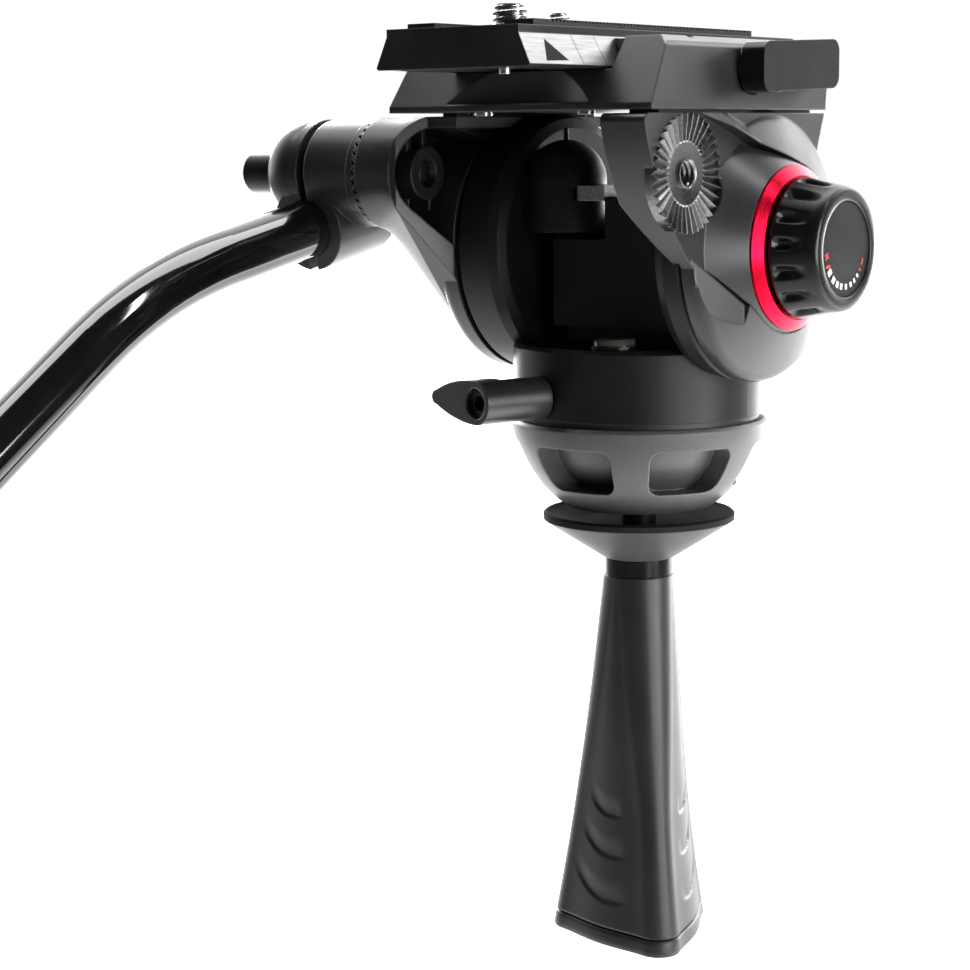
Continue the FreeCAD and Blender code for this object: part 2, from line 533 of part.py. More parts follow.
def make_pan_housing():
    tilt = {"z": "tilt_z", "along": "X"}
    base = turned("BaseTurning", "Z", [
        ("0", "base_bottom_z"), ("base_radius", "base_bottom_z"),
        ("base_radius", "base_top_z-base_edge"), ("base_radius-base_edge", "base_top_z"),
        ("0", "base_top_z"),
    ])

    left = drum_body("left_drum_inner", -1)
    right = drum_body("right_drum_inner", 1)
    foot = box("-block_left+block_foot_set_back", "right_drum_inner+past",
               "-block_near+block_foot_set_back", "-core_near+past", "base_top_z-past", "block_foot_z+past")
    block = box("-block_left", "right_drum_inner+past", "-block_near", "-core_near+past",
                "block_foot_z", "block_top_z")
    high = box("block_high_left", "block_left", "-block_near", "-core_near+past",
               "block_top_z-past", "block_high_z")
    core = box("-left_drum_inner-past", "right_drum_inner+past", "-core_near", "core_far",
               "base_top_z-past", "core_top_z")
    column = fuse(
        cylinder("column_radius", "column_shoulder_z-column_foot_z", "column_x", "column_y",
                 "column_foot_z"),
        sphere("column_radius", "column_x", "column_y", "column_shoulder_z"),
        cylinder("column_pin_radius", "column_radius+column_pin_height", "column_x", "column_y",
                 "column_shoulder_z"))
    bush_bore = "axle_radius+running_gap+tilt_bush_wall"
    cuts = [
        cylinder("pan_cavity_radius", "pan_cavity_top_z-base_bottom_z", z="base_bottom_z"),
        cylinder("spindle_radius+running_gap+bush_wall", "circlip_room_z-pan_cavity_top_z",
                 z="pan_cavity_top_z"),
        radial_cylinder("shoe_radius+running_gap", "pan_cavity_radius-past", "base_radius+past",
                        "lock_turn", "lock_z"),
        radial_cylinder("drag_stem_radius+running_gap", "pan_cavity_radius-past", "base_radius+past",
                        "drag_turn", "drag_z"),
        cylinder("drum_cavity_radius", "left_cavity_depth", "-drum_face", **tilt),
        cylinder("drum_cavity_radius", "right_cavity_depth", "drum_face-right_cavity_depth", **tilt),
        cylinder("axle_radius+axle_room", "2*drum_face", "-drum_face", **tilt),
        cylinder(bush_bore, "bush_length", "-drum_face+left_cavity_depth", **tilt),
        cylinder(bush_bore, "bush_length", "drum_face-right_cavity_depth-bush_length", **tilt),
        cylinder("vial_radius+vial_cup_wall+seat_gap", "base_top_z+past-vial_low_z+vial_cup_wall",
                 "vial_x", "vial_y", "vial_low_z-vial_cup_wall"),
        box("tab_left-seat_gap", "tab_right+seat_gap", "-block_near-tab_reach-past",
            "-block_near-tab_reach+tab_depth+seat_gap", "tab_z", "tab_z+tab_thick"),
    ]
    node("pan_housing", cut(fuse(base, left, right, foot, block, high, core, column), *cuts))
    node("tilt_stop_plate", box("tab_left", "tab_right", "-block_near-tab_reach",
                                "-block_near-tab_reach+tab_depth", "tab_z+seat_gap",
                                "tab_z+tab_thick-seat_gap"))


def drum_body(inner, side):
    """One fixed drum, bevelled at its outer edge and rounded at its inner edge."""
    body = turned("Drum", "X", [
        (inner, "0"), (inner, "drum_radius-drum_inner_round"),
        (f"{inner}+drum_inner_round*{ROUND}", f"drum_radius-drum_inner_round*{ROUND}"),
        (f"{inner}+drum_inner_round", "drum_radius"), ("drum_face-drum_edge", "drum_radius"),
        ("drum_face", "drum_radius-drum_edge"), ("drum_face", "0"),
    ])
    if side < 0:
        body.Placement = Placement(Vector(), Rotation(Vector(0, 0, 1), 180))
    return place(body, z="tilt_z")


def make_bubble_level():
    """A round bubble level: a clear vial in its cup, let into the top of the base."""
    low = "vial_low_z-vial_cup_wall"
    cup = cut(cylinder("vial_radius+vial_cup_wall", f"vial_cup_top_z-({low})", "vial_x", "vial_y", low),
              cylinder("vial_radius+seat_gap", "vial_top_z-vial_low_z", "vial_x", "vial_y", "vial_low_z"))
    node("level_cup", cup)
    node("level_vial", cylinder("vial_radius", "vial_top_z-vial_low_z-seat_gap", "vial_x", "vial_y",
                                "vial_low_z+seat_gap"))


def make_tilt_works():
    """Axle, bushes, fluid damper, brake and counterbalance spring inside the drums."""
    tilt = {"z": "tilt_z", "along": "X"}
    node("tilt_axle", cylinder("axle_radius", "2*axle_half", "-axle_half", **tilt))
    outer = "axle_radius+running_gap+tilt_bush_wall"
    inner = "axle_radius+running_gap"
    bushes = [tube(outer, inner, "bush_length", start, **tilt)
              for start in ("-drum_face+left_cavity_depth", "drum_face-right_cavity_depth-bush_length")]
    node("tilt_bushes", group(bushes))
    floor = "drum_face-right_cavity_depth+case_fit"
    shell = "drum_cavity_radius-case_fit"
    case = cut(cylinder(shell, f"drum_face-case_set_back-({floor})", floor, **tilt),
               cylinder(f"{shell}-case_wall", "drum_face", f"{floor}+case_wall", **tilt),
               cylinder("axle_radius+axle_room", "drum_face", f"{floor}-past", **tilt))
    node("tilt_damper_case", case)
    node("tilt_damper_rotor", tube(f"{shell}-case_wall-rotor_gap", "axle_radius+seat_gap",
                                   f"drum_face-2*case_set_back-({floor}+case_wall+rotor_gap)",
                                   f"{floor}+case_wall+rotor_gap", **tilt))
    node("tilt_brake_disc", tube("drum_cavity_radius-brake_clear", "axle_radius+seat_gap", "brake_thick",
                                 "-drum_face+case_set_back", **tilt))
    make_spiral_spring()


def make_spiral_spring():
    """A flat counterbalance spring: half rings of growing radius, turn after turn."""
    start = -S.drum_face + S.left_cavity_depth - S.spring_width - S.case_clear
    radius = S.axle_radius + S.axle_room + S.spring_core_gap
    centre_y = 0.0
    reach = 2 * S.drum_cavity_radius
    spring = None
    for half in range(int(2 * S.spring_turns)):
        up = half % 2 == 0
        ring = disc(radius + S.spring_wire, start, S.spring_width, centre_y, S.tilt_z)
        ring = ring.cut(disc(radius, start, S.spring_width, centre_y, S.tilt_z))
        low = S.tilt_z if up else S.tilt_z - reach
        half_space = Part.makeBox(S.spring_width, 2 * reach, reach, Vector(start, -reach, low))
        ring = ring.common(half_space)
        spring = ring if spring is None else spring.fuse(ring)
        radius += S.spring_pitch / 2
        centre_y += S.spring_pitch / 2 if up else -S.spring_pitch / 2
    node("counterbalance_spring", shaped("SpiralSpring", spring.removeSplitter()))


# ---- pan controls -----------------------------------------------------------------------------


def make_pan_lock():
    """The pan lock: a wing lever on a bolt that pushes a shoe against the brake drum."""
    z = "lock_z"
    drum_edge = "pan_cavity_radius+shoe_gap"
    node("pan_brake_shoe", radial_cylinder("shoe_radius", drum_edge, f"{drum_edge}+shoe_length",
                                           "lock_turn", z))
    end = S.lock_hub_end
    head_x = end - S.lock_head_depth
    bolt_x = S.pan_cavity_radius + S.shoe_gap + S.shoe_length + S.face_gap
    hub_start = S.base_radius + S.lock_hub_gap
    hub = disc(S.lock_hub_radius, hub_start, end - hub_start)
    lever = hub.fuse(lock_wing(end - S.lock_wing_thick, S.lock_wing_thick)).removeSplitter()
    lever = lever.cut(disc(S.lock_bolt_radius + S.seat_gap, hub_start, end - hub_start))
    lever = lever.cut(disc(S.lock_head_radius + S.thread_gap, head_x, S.lock_head_depth))
    lever.rotate(Vector(), Vector(0, 0, 1), S.lock_turn)
    node("pan_lock_lever", shaped("PanLockLever", lever, z=S.lock_z))
    head_start = head_x + S.seat_gap
    bolt = disc(S.lock_bolt_radius, bolt_x, head_start - bolt_x)
    bolt = bolt.fuse(disc(S.lock_head_radius, head_start, S.lock_head_thick))
    hexagon = regular(6, S.lock_socket_radius, head_start + S.lock_head_thick - S.lock_socket_depth)
    bolt = bolt.cut(Part.Face(hexagon).extrude(Vector(S.lock_head_thick, 0, 0))).removeSplitter()
    bolt.rotate(Vector(), Vector(0, 0, 1), S.lock_turn)
    node("pan_lock_bolt", shaped("PanLockBolt", bolt, z=S.lock_z))


def lock_wing(x, thick):
    """The pan lock's finger wing: a slab with a swelling, bullet-shaped outline."""
    hub, reach, tip, rise = S.lock_hub_radius, S.lock_wing_reach, S.lock_wing_tip, S.lock_wing_rise
    top, low = Vector(x, 0, hub), Vector(x, 0, -hub)
    tip_top, tip_low = Vector(x, -reach, rise + tip), Vector(x, -reach, rise - tip)
    edges = [Part.Arc(top, Vector(x, -reach / 2, S.lock_wing_high), tip_top).toShape(),
             Part.Arc(tip_top, Vector(x, -reach - tip, rise), tip_low).toShape(),
             Part.Arc(tip_low, Vector(x, -reach / 2, -S.lock_wing_low), low).toShape(),
             Part.LineSegment(low, top).toShape()]
    return Part.Face(Part.Wire(edges)).extrude(Vector(thick, 0, 0))


def regular(sides, radius, x):
    """A regular polygon about the X axis."""
    turns = [2 * math.pi * k / sides for k in range(sides)]
    points = [Vector(x, radius * math.cos(turn), radius * math.sin(turn)) for turn in turns]
    return Part.makePolygon(points + [points[0]])


def make_pan_drag():
    """The small pan drag knob on the far side of the base, with its stem."""
    start, floor = "base_radius+drag_knob_gap", "drag_knob_end-drag_face_thick"
    body = turned("PanDragKnob", "X", [
        (start, "drag_stem_radius+seat_gap"), (start, "drag_knob_radius"),
        ("drag_knob_end-drag_knob_edge", "drag_knob_radius"),
        ("drag_knob_end", "drag_knob_radius-drag_knob_edge"),
        ("drag_knob_end", "0"), (floor, "0"), (floor, "drag_stem_radius+seat_gap"),
    ])
    deep, clear = "drag_knob_radius-drag_flute_depth", "drag_knob_radius+past"
    flute = bored(body, "YZ_Plane", [
        ("-drag_flute_half", deep), ("drag_flute_half", deep),
        ("drag_flute_half", clear), ("-drag_flute_half", clear),
    ])
    polar(body, flute, "X_Axis", "drag_flutes")
    body.Placement = Placement(Vector(), Rotation(Vector(0, 0, 1), S.drag_turn))
    node("pan_drag_knob", place(body, z="drag_z"))
    node("pan_drag_stem", radial_cylinder("drag_stem_radius", "pan_cavity_radius+shoe_gap",
                                          f"{floor}-seat_gap", "drag_turn", "drag_z"))


# ---- tilting arms -----------------------------------------------------------------------------


def arm_outline(x, near_y=None):
    """The outline of an arm's blade above the tilt axis, in the plane at x."""
    near, far, top = S.arm_near, S.arm_far, S.arm_top_z
    corner_z = top - S.arm_corner
    far_side = [Vector(x, S.arm_hook_y, S.tilt_z - S.arm_hook_drop),
                Vector(x, S.arm_waist_y, S.arm_waist_z), Vector(x, far, top)]
    if near_y is not None:
        points = [Vector(x, near_y, top), Vector(x, near_y, S.tilt_z + S.arm_heel_rise)] + far_side
        return Part.makePolygon(points + [points[0]])
    near_top, near_side = Vector(x, near + S.arm_corner, top), Vector(x, near, corner_z)
    mid = Vector(x, near + S.arm_corner * ROUND, top - S.arm_corner * ROUND)
    swoop = Vector(x, S.arm_swoop_y, S.arm_swoop_z)
    foot = Vector(x, S.arm_foot_y, S.arm_foot_z)
    corners = [foot] + far_side + [near_top]
    edges = [Part.Arc(near_top, mid, near_side).toShape(), Part.Arc(near_side, swoop, foot).toShape()]
    edges += [Part.LineSegment(a, b).toShape() for a, b in zip(corners, corners[1:])]
    return Part.Wire(edges)


def arm_blade(x0, x1, near_y=None):
    return Part.Face(arm_outline(x0, near_y)).extrude(Vector(x1 - x0, 0, 0))


def drum_room(x0):
    """The space that the fixed drum needs beside an arm."""
    return disc(S.drum_radius + S.arm_drum_gap, x0, S.arm_face - x0, 0, S.tilt_z)


def shim(x0, x1, y0, y1):
    """The raised seat on top of an arm, where the platform rests."""
    inset = S.arm_shim
    return Part.makeBox(x1 - x0 - 2 * inset, y1 - y0 - 2 * inset,
                        S.platform_bottom_z - S.arm_top_z + S.past,
                        Vector(x0 + inset, y0 + inset, S.arm_top_z - S.past))


def drill_arm(arm):
    """Threaded holes for the screws that hold the platform."""
    for y in (S.arm_screw_near, S.arm_screw_far):
        hole = Part.makeCylinder(S.arm_screw_radius + S.thread_gap, S.long,
                                 Vector(S.arm_screw_x, y, S.arm_screw_tip_z - S.screw_tip_room))
        arm = arm.cut(hole)
    return arm


def coned_disc():
    """The right arm's disc: a round rim, and a shallow cone that rises to the dial ring."""
    radius, round_r, rim = S.arm_radius, S.right_rim_round, S.right_rim_x
    lean = math.atan2(radius - S.ring_outer, S.ring_seat - rim)
    tangent = round_r * math.tan(lean / 2)
    corner = Vector(rim, 0, radius)
    start = corner - Vector(tangent, 0, 0)
    end = corner + Vector(math.cos(lean), 0, -math.sin(lean)) * tangent
    centre = start - Vector(0, 0, round_r)
    middle = centre + (corner - centre).normalize() * round_r
    top, foot = Vector(S.ring_seat, 0, S.ring_outer), Vector(S.arm_face, 0, radius)
    low_end, low_start = Vector(S.ring_seat, 0, 0), Vector(S.arm_face, 0, 0)
    edges = [Part.LineSegment(low_start, foot).toShape(), Part.LineSegment(foot, start).toShape(),
             Part.Arc(start, middle, end).toShape(), Part.LineSegment(end, top).toShape(),
             Part.LineSegment(top, low_end).toShape(), Part.LineSegment(low_end, low_start).toShape()]
    solid = Part.Face(Part.Wire(edges)).revolve(Vector(), Vector(1, 0, 0), 360)
    solid.translate(Vector(0, 0, S.tilt_z))
    return solid


def axle_seat():
    """The blind hole in an arm that holds the end of the tilt axle."""
    start = S.arm_face - S.past
    return disc(S.axle_radius + S.seat_gap, start, S.axle_half + S.seat_gap - start, 0, S.tilt_z)


def make_right_arm():
    """The right arm: ridges rise from beside its rosette and run on round the dial ring's cone."""
    y, z = S.rosette_y, S.rosette_z
    margin = S.recess_margin
    blade = arm_blade(S.arm_inner, S.right_block_x)
    outline = arm_blade(S.arm_face, S.ring_seat).fuse(
        disc(S.arm_radius, S.arm_face, S.ring_seat - S.arm_face, 0, S.tilt_z))
    ring_r, boss_r = S.ring_outer + margin, S.rosette_radius + margin
    spread = S.land_spread
    foot = hull_wire(S.land_foot_x, (y, z, boss_r + spread), (0, S.tilt_z, ring_r + spread))
    edge = S.land_edge
    top = hull_wire(S.land_top_x, (y, z, boss_r + edge), (0, S.tilt_z, ring_r + edge))
    land = Part.makeLoft([foot, top], True, True).common(outline)
    arm = coned_disc().fuse(blade).fuse(land)
    wedge = [Vector(S.arm_inner, -S.long, S.arm_bevel_z), Vector(S.arm_face, -S.long, S.arm_bevel_foot_z),
             Vector(S.arm_inner, -S.long, S.arm_bevel_foot_z)]
    arm = arm.cut(Part.Face(Part.makePolygon(wedge + [wedge[0]])).extrude(Vector(0, S.long, 0)))
    arm = arm.fuse(shim(S.arm_inner, S.right_block_x, S.arm_near + S.shim_near_gap, S.arm_far))
    arm = arm.cut(drum_room(S.arm_inner - S.past))
    floor = S.recess_floor_x
    arm = arm.cut(hull(floor, floor + S.long, (y, z, boss_r), (0, S.tilt_z, ring_r)))
    ramp = [Vector(floor, -S.long, 0), Vector(floor, S.ramp_near, 0),
            Vector(S.land_top_x + S.past, S.ramp_far, 0), Vector(floor + S.long, S.ramp_far, 0),
            Vector(floor + S.long, -S.long, 0)]
    arm = arm.cut(Part.Face(Part.makePolygon(ramp + [ramp[0]])).extrude(Vector(0, 0, S.long)))
    root = floor - S.past
    boss = Part.makeCone(S.cone_foot, S.ring_outer, S.ring_seat - root,
                         Vector(root, 0, S.tilt_z), Vector(1, 0, 0))
    keep = hull(root, S.ring_seat, (y, z, boss_r - S.boss_inset), (0, S.tilt_z, ring_r))
    arm = arm.fuse(boss.common(keep))
    rosette_back = floor + S.rosette_proud - S.rosette_thick
    arm = arm.cut(disc(S.rosette_radius + S.seat_gap, rosette_back, S.long, y, z))
    arm = arm.cut(disc(S.socket_radius, S.arm_inner - S.past, S.long, y, z))
    arm = arm.cut(axle_seat())
    arm = arm.cut(disc(S.stem_radius + S.running_gap, S.axle_half, S.long, 0, S.tilt_z))
    node("right_arm", shaped("RightArm", drill_arm(arm).removeSplitter()))
    ring = rosette(S.rosette_thick, 1)
    node("right_rosette", shaped("RightRosette", ring, rosette_back, y, z))


def make_left_arm():
    """The left arm leaves the drum and swings out to its rosette as a hollow, ribbed boss."""
    y, z = S.rosette_y, S.rosette_z
    radius = S.rosette_radius + S.left_boss_extra
    wall = S.left_wall
    boss, belt = (y, z, radius), (0, S.tilt_z, S.left_belt)
    arm = disc(S.arm_radius, S.arm_face, S.arm_outer - S.arm_face, 0, S.tilt_z)
    arm = rounded_edges(arm, S.arm_round, lambda e: e.BoundBox.XMin > S.arm_outer - S.seat_gap)
    end_belt = hull_wire(S.left_boss_face, boss,
                         (y + S.left_boss_shift_y, z - S.left_boss_shift_z, radius - S.left_boss_taper))
    arm = arm.fuse(Part.makeLoft([hull_wire(S.arm_outer, boss, belt), end_belt], True, True))
    shell = hull(S.arm_face, S.arm_outer, boss, belt)
    rim = [Vector(S.arm_outer, S.left_rim_near, 0), Vector(S.arm_face, -S.arm_radius, 0),
           Vector(S.arm_face, -S.long, 0), Vector(S.arm_outer, -S.long, 0)]
    shell = shell.cut(Part.Face(Part.makePolygon(rim + [rim[0]])).extrude(Vector(0, 0, S.long)))
    arm = arm.fuse(shell).fuse(arm_blade(S.arm_face, S.arm_outer, S.left_blade_near))
    web = Part.makeBox(S.arm_outer - S.left_web_inner, S.arm_far - y + S.web_past, S.left_web_thick,
                       Vector(S.left_web_inner, y - S.web_past, S.arm_top_z - S.left_web_thick))
    arm = arm.fuse(web).cut(drum_room(S.left_web_inner - S.past)).cut(boss_room(y, z, radius - wall))
    arm = arm.cut(disc(S.socket_radius, S.left_web_inner, S.long, y, z))
    arm = arm.cut(axle_seat())
    arm = arm.cut(disc(S.tilt_stem_radius + S.running_gap, S.axle_half, S.long, 0, S.tilt_z))
    arm = arm.cut(Part.makeBox(S.long, 2 * S.long, S.long, Vector(0, -S.long, S.arm_top_z)))
    lever_room = S.tilt_lock_reach + S.tilt_lock_tip + S.lever_room
    arm = arm.cut(disc(lever_room, S.arm_outer, S.long, 0, S.tilt_z))
    arm = arm.fuse(shim(S.left_web_inner, S.platform_half - S.past, y - S.shim_near_past, S.arm_far))
    arm = arm.cut(drum_room(S.left_web_inner - S.past))
    arm = drill_arm(arm).mirror(Vector(), Vector(1, 0, 0))
    node("left_arm", shaped("LeftArm", arm.removeSplitter()))
    ring = rosette(-S.rosette_thick, -1)
    node("left_rosette", shaped("LeftRosette", ring, -S.left_boss_face, y, z))


def boss_room(y, z, radius):
    """The hollow of the left arm's boss, with its screw boss and ribs left standing."""
    drop, tip = S.room_drop, S.bolt_tip
    room = hull(0, S.left_boss_face - S.left_wall, (y, z, radius),
                (y + S.room_shift_y, z - drop, radius + S.left_wall + S.room_spread))
    room = room.cut(disc(S.arm_radius, 0, S.long, 0, S.tilt_z))
    web_z = S.arm_top_z - S.left_web_thick
    room = room.cut(Part.makeBox(S.long, 2 * S.long, S.left_web_thick, Vector(0, -S.long, web_z)))
    room = room.cut(disc(S.left_boss_bore, tip - S.web_past, S.long, y, z))
    for side in (-1, 1):
        rib_y = y + side * S.rib_offset - S.rib_thick / 2
        room = room.cut(Part.makeBox(S.rib_run, S.rib_thick, S.rib_height, Vector(tip, rib_y, z)))
    low = Vector(tip - S.past, y + S.low_rib_y, z - S.low_rib_drop)
    return room.cut(Part.makeBox(S.low_rib_run, S.low_rib_thick, S.rib_height, low))


def make_drag_ring():
    """The coloured dial ring between the right arm and the drag knob."""
    body = turned("DragRing", "X", [
        ("ring_seat", "ring_bore"), ("ring_seat", "ring_outer"), ("ring_seat+ring_edge", "ring_outer"),
        ("ring_front", "ring_inner"), ("ring_front", "ring_bore"),
    ])
    node("drag_dial_ring", place(body, z="tilt_z"))


# ---- tilt controls ----------------------------------------------------------------------------


def make_drag_knob():
    """The fluted tilt drag knob, its stem, and the dial disc let into its face."""
    disc_start = "knob_end-dial_sink-dial_thick"
    body = turned("DragKnob", "X", [
        ("knob_start", "stem_radius+seat_gap"), ("knob_start", "knob_root_radius"),
        ("knob_end-knob_edge", "knob_end_radius+knob_edge_step"),
        ("knob_end", "knob_end_radius-knob_edge_round"),
        ("knob_end", "dial_radius+dial_gap"), (disc_start, "dial_radius+dial_gap"),
        (disc_start, "stem_radius+seat_gap"),
    ])
    node("tilt_drag_knob", place(fluted(body), z="tilt_z"))
    node("drag_dial_disc", cylinder("dial_radius", "dial_thick", disc_start, z="tilt_z", along="X"))
    node("tilt_drag_stem", cylinder("stem_radius", f"{disc_start}-stem_start-seat_gap", "stem_start",
                                    z="tilt_z", along="X"))


def fluted(body):
    """Cuts the knob's finger flutes: tapered grooves, deepest at the ring end."""
    sketch = body_sketch(body, "XZ_Plane", [
        ("knob_start-past", "knob_root_radius-flute_depth"),
        ("knob_end-flute_end", "knob_end_radius+flute_run_out"),
        ("knob_end-flute_end", "knob_root_radius+flute_clear"),
        ("knob_start-past", "knob_root_radius+flute_clear"),
    ], "FluteOutline")
    flute = body.newObject("PartDesign::Pocket", "Flute")
    flute.Profile = sketch
    flute.Midplane = True
    bind(flute, Length="flute_width")
    body.Tip = flute
    polar(body, flute, "X_Axis", "knob_flutes")
    return body


def make_tilt_lock():
    """The tilt lock lever outside the left arm, and its stem with the brake shoe on it."""
    start, thick = S.tilt_lock_start, S.tilt_lock_thick
    lever = disc(S.tilt_lock_hub, start, thick)
    tip = (S.tilt_lock_reach, 0, S.tilt_lock_tip)
    waist = (0, 0, S.tilt_lock_hub - S.tilt_lock_waist)
    lever = lever.fuse(hull(start + S.tilt_lock_step, start + thick, waist, tip))
    lever = lever.cut(disc(S.tilt_stem_radius + S.seat_gap, start, thick - S.tilt_lock_skin)).removeSplitter()
    lever.rotate(Vector(), Vector(1, 0, 0), S.tilt_lock_turn)
    lever = lever.mirror(Vector(), Vector(1, 0, 0))
    node("tilt_lock_lever", shaped("TiltLockLever", lever, z=S.tilt_z))
    stem_end = "tilt_lock_start+tilt_lock_thick-tilt_lock_skin-stem_tip_gap"
    node("tilt_lock_stem", cylinder("tilt_stem_radius", f"{stem_end}-axle_half-tilt_stem_gap",
                                    f"-({stem_end})", z="tilt_z", along="X"))


# ---- camera platform --------------------------------------------------------------------------


def platform_wire(z, half, rake, far_rake):
    """The platform's outline at one height; the ends lean back as it rises."""
    corners = [(-half, S.platform_near + rake), (half, S.platform_near + rake),
               (half, S.platform_far + far_rake), (-half, S.platform_far + far_rake)]
    points = [Vector(x, y, z) for x, y in corners]
    return Part.makePolygon(points + [points[0]])


def make_platform():
    """The platform: a raked block with a channel for the sliding plate between two jaws."""
    low, top = S.platform_bottom_z, S.jaw_top_z
    lip = low + S.platform_foot
    foot = Part.Face(platform_wire(low, S.platform_half, 0, 0)).extrude(Vector(0, 0, lip - low))
    rise = Part.makeLoft([platform_wire(lip, S.platform_half, 0, 0),
                          platform_wire(top, S.jaw_half, S.platform_rake, S.platform_far_rake)], True, True)
    block = foot.fuse(rise)
    near, far = S.platform_near - S.past, S.platform_far + S.platform_far_rake + S.past
    floor = S.channel_floor_z
    slope = dovetail_slope()
    left_mouth = S.plate_foot_half + S.dovetail_gap + slope * (S.plate_bottom_z + S.foot_bevel - floor)
    left_top = left_mouth - slope * (top - floor)
    channel = [Vector(-left_mouth, near, floor), Vector(S.jaw_mouth, near, floor),
               Vector(S.jaw_mouth_top, near, top + S.past), Vector(-left_top, near, top + S.past)]
    block = block.cut(Part.Face(Part.makePolygon(channel + [channel[0]])).extrude(Vector(0, far - near, 0)))
    scoop_y = S.platform_near + S.near_scoop_depth - S.near_scoop_radius
    scoop_z = low + S.near_scoop_skin
    scoop = Part.makeCylinder(S.near_scoop_radius, floor - scoop_z, Vector(0, scoop_y, scoop_z))
    block = block.cut(scoop)
    for side in (-1, 1):
        edge = side * (S.jaw_half + S.jaw_bevel_out)
        wedge = [Vector(edge, near, top - S.jaw_bevel), Vector(edge, near, top + S.past),
                 Vector(edge - side * (S.jaw_bevel + S.past), near, top + S.past)]
        block = block.cut(Part.Face(Part.makePolygon(wedge + [wedge[0]])).extrude(Vector(0, far - near, 0)))
    stem = disc(S.clamp_stem_radius + S.running_gap, S.clamp_stem_end - S.clamp_stem_room, S.long,
                S.clamp_y, S.clamp_z)
    catch = disc(S.catch_radius + S.running_gap, -S.platform_half, S.catch_pocket, S.catch_y, S.catch_z)
    spot = disc(S.clamp_hub_radius + S.clamp_hub_room, S.clamp_start - S.clamp_hub_back - S.face_gap,
                S.long, S.clamp_y, S.clamp_z)
    block = block.cut(stem).cut(catch).cut(spot)
    for x, y in screw_places():
        hole = Part.makeCylinder(S.arm_screw_radius + S.thread_gap, S.long, Vector(x, y, low - S.past))
        head = Part.makeCylinder(S.arm_screw_head + S.screw_head_room, S.long,
                                 Vector(x, y, S.arm_screw_head_z))
        block = block.cut(hole).cut(head)
    for side in (-1, 1):
        block = block.cut(Part.makeCylinder(S.under_screw_radius + S.thread_gap,
                                            S.under_screw_depth + S.under_screw_tip_gap,
                                            Vector(side * S.under_screw_x, S.under_screw_y, low)))
    node("platform", shaped("Platform", block.removeSplitter()))


def dovetail_slope():
    """How far the plate's dovetail leans in for each millimetre that it rises."""
    rise = S.plate_top_z - S.plate_lip - S.plate_bottom_z - S.foot_bevel
    return (S.plate_foot_half - S.plate_top_half) / rise


def screw_places():
    """Where the platform is screwed down on the arms."""
    return [(side * S.arm_screw_x, y) for side in (-1, 1) for y in (S.arm_screw_near, S.arm_screw_far)]


def make_arm_screws():
    """Cap screws that hold the platform on the arms, and two short ones under its near edge."""
    screws = []
    head_z, tip_z = S.arm_screw_head_z, S.arm_screw_tip_z
    for x, y in screw_places():
        shank = Part.makeCylinder(S.arm_screw_radius, head_z + S.seat_gap - tip_z, Vector(x, y, tip_z))
        head = Part.makeCylinder(S.arm_screw_head, S.arm_screw_head_high, Vector(x, y, head_z + S.seat_gap))
        hexagon = Part.makeCylinder(S.arm_screw_socket, S.arm_screw_head_high,
                                    Vector(x, y, head_z + S.arm_screw_socket_up))
        screws.append(shank.fuse(head).cut(hexagon))
    node("platform_screws", shaped("PlatformScrews", Part.makeCompound(screws)))
    low = S.platform_bottom_z
    under = []
    for side in (-1, 1):
        x, y = side * S.under_screw_x, S.under_screw_y
        head_z = low - S.seat_gap - S.under_screw_head_high
        shank = Part.makeCylinder(S.under_screw_radius, low + S.under_screw_depth - head_z,
                                  Vector(x, y, head_z))
        under.append(Part.makeCylinder(S.under_screw_head, S.under_screw_head_high,
                                       Vector(x, y, head_z)).fuse(shank))
    node("underside_screws", shaped("UndersideScrews", Part.makeCompound(under)))


# ---- sliding camera plate ---------------------------------------------------------------------


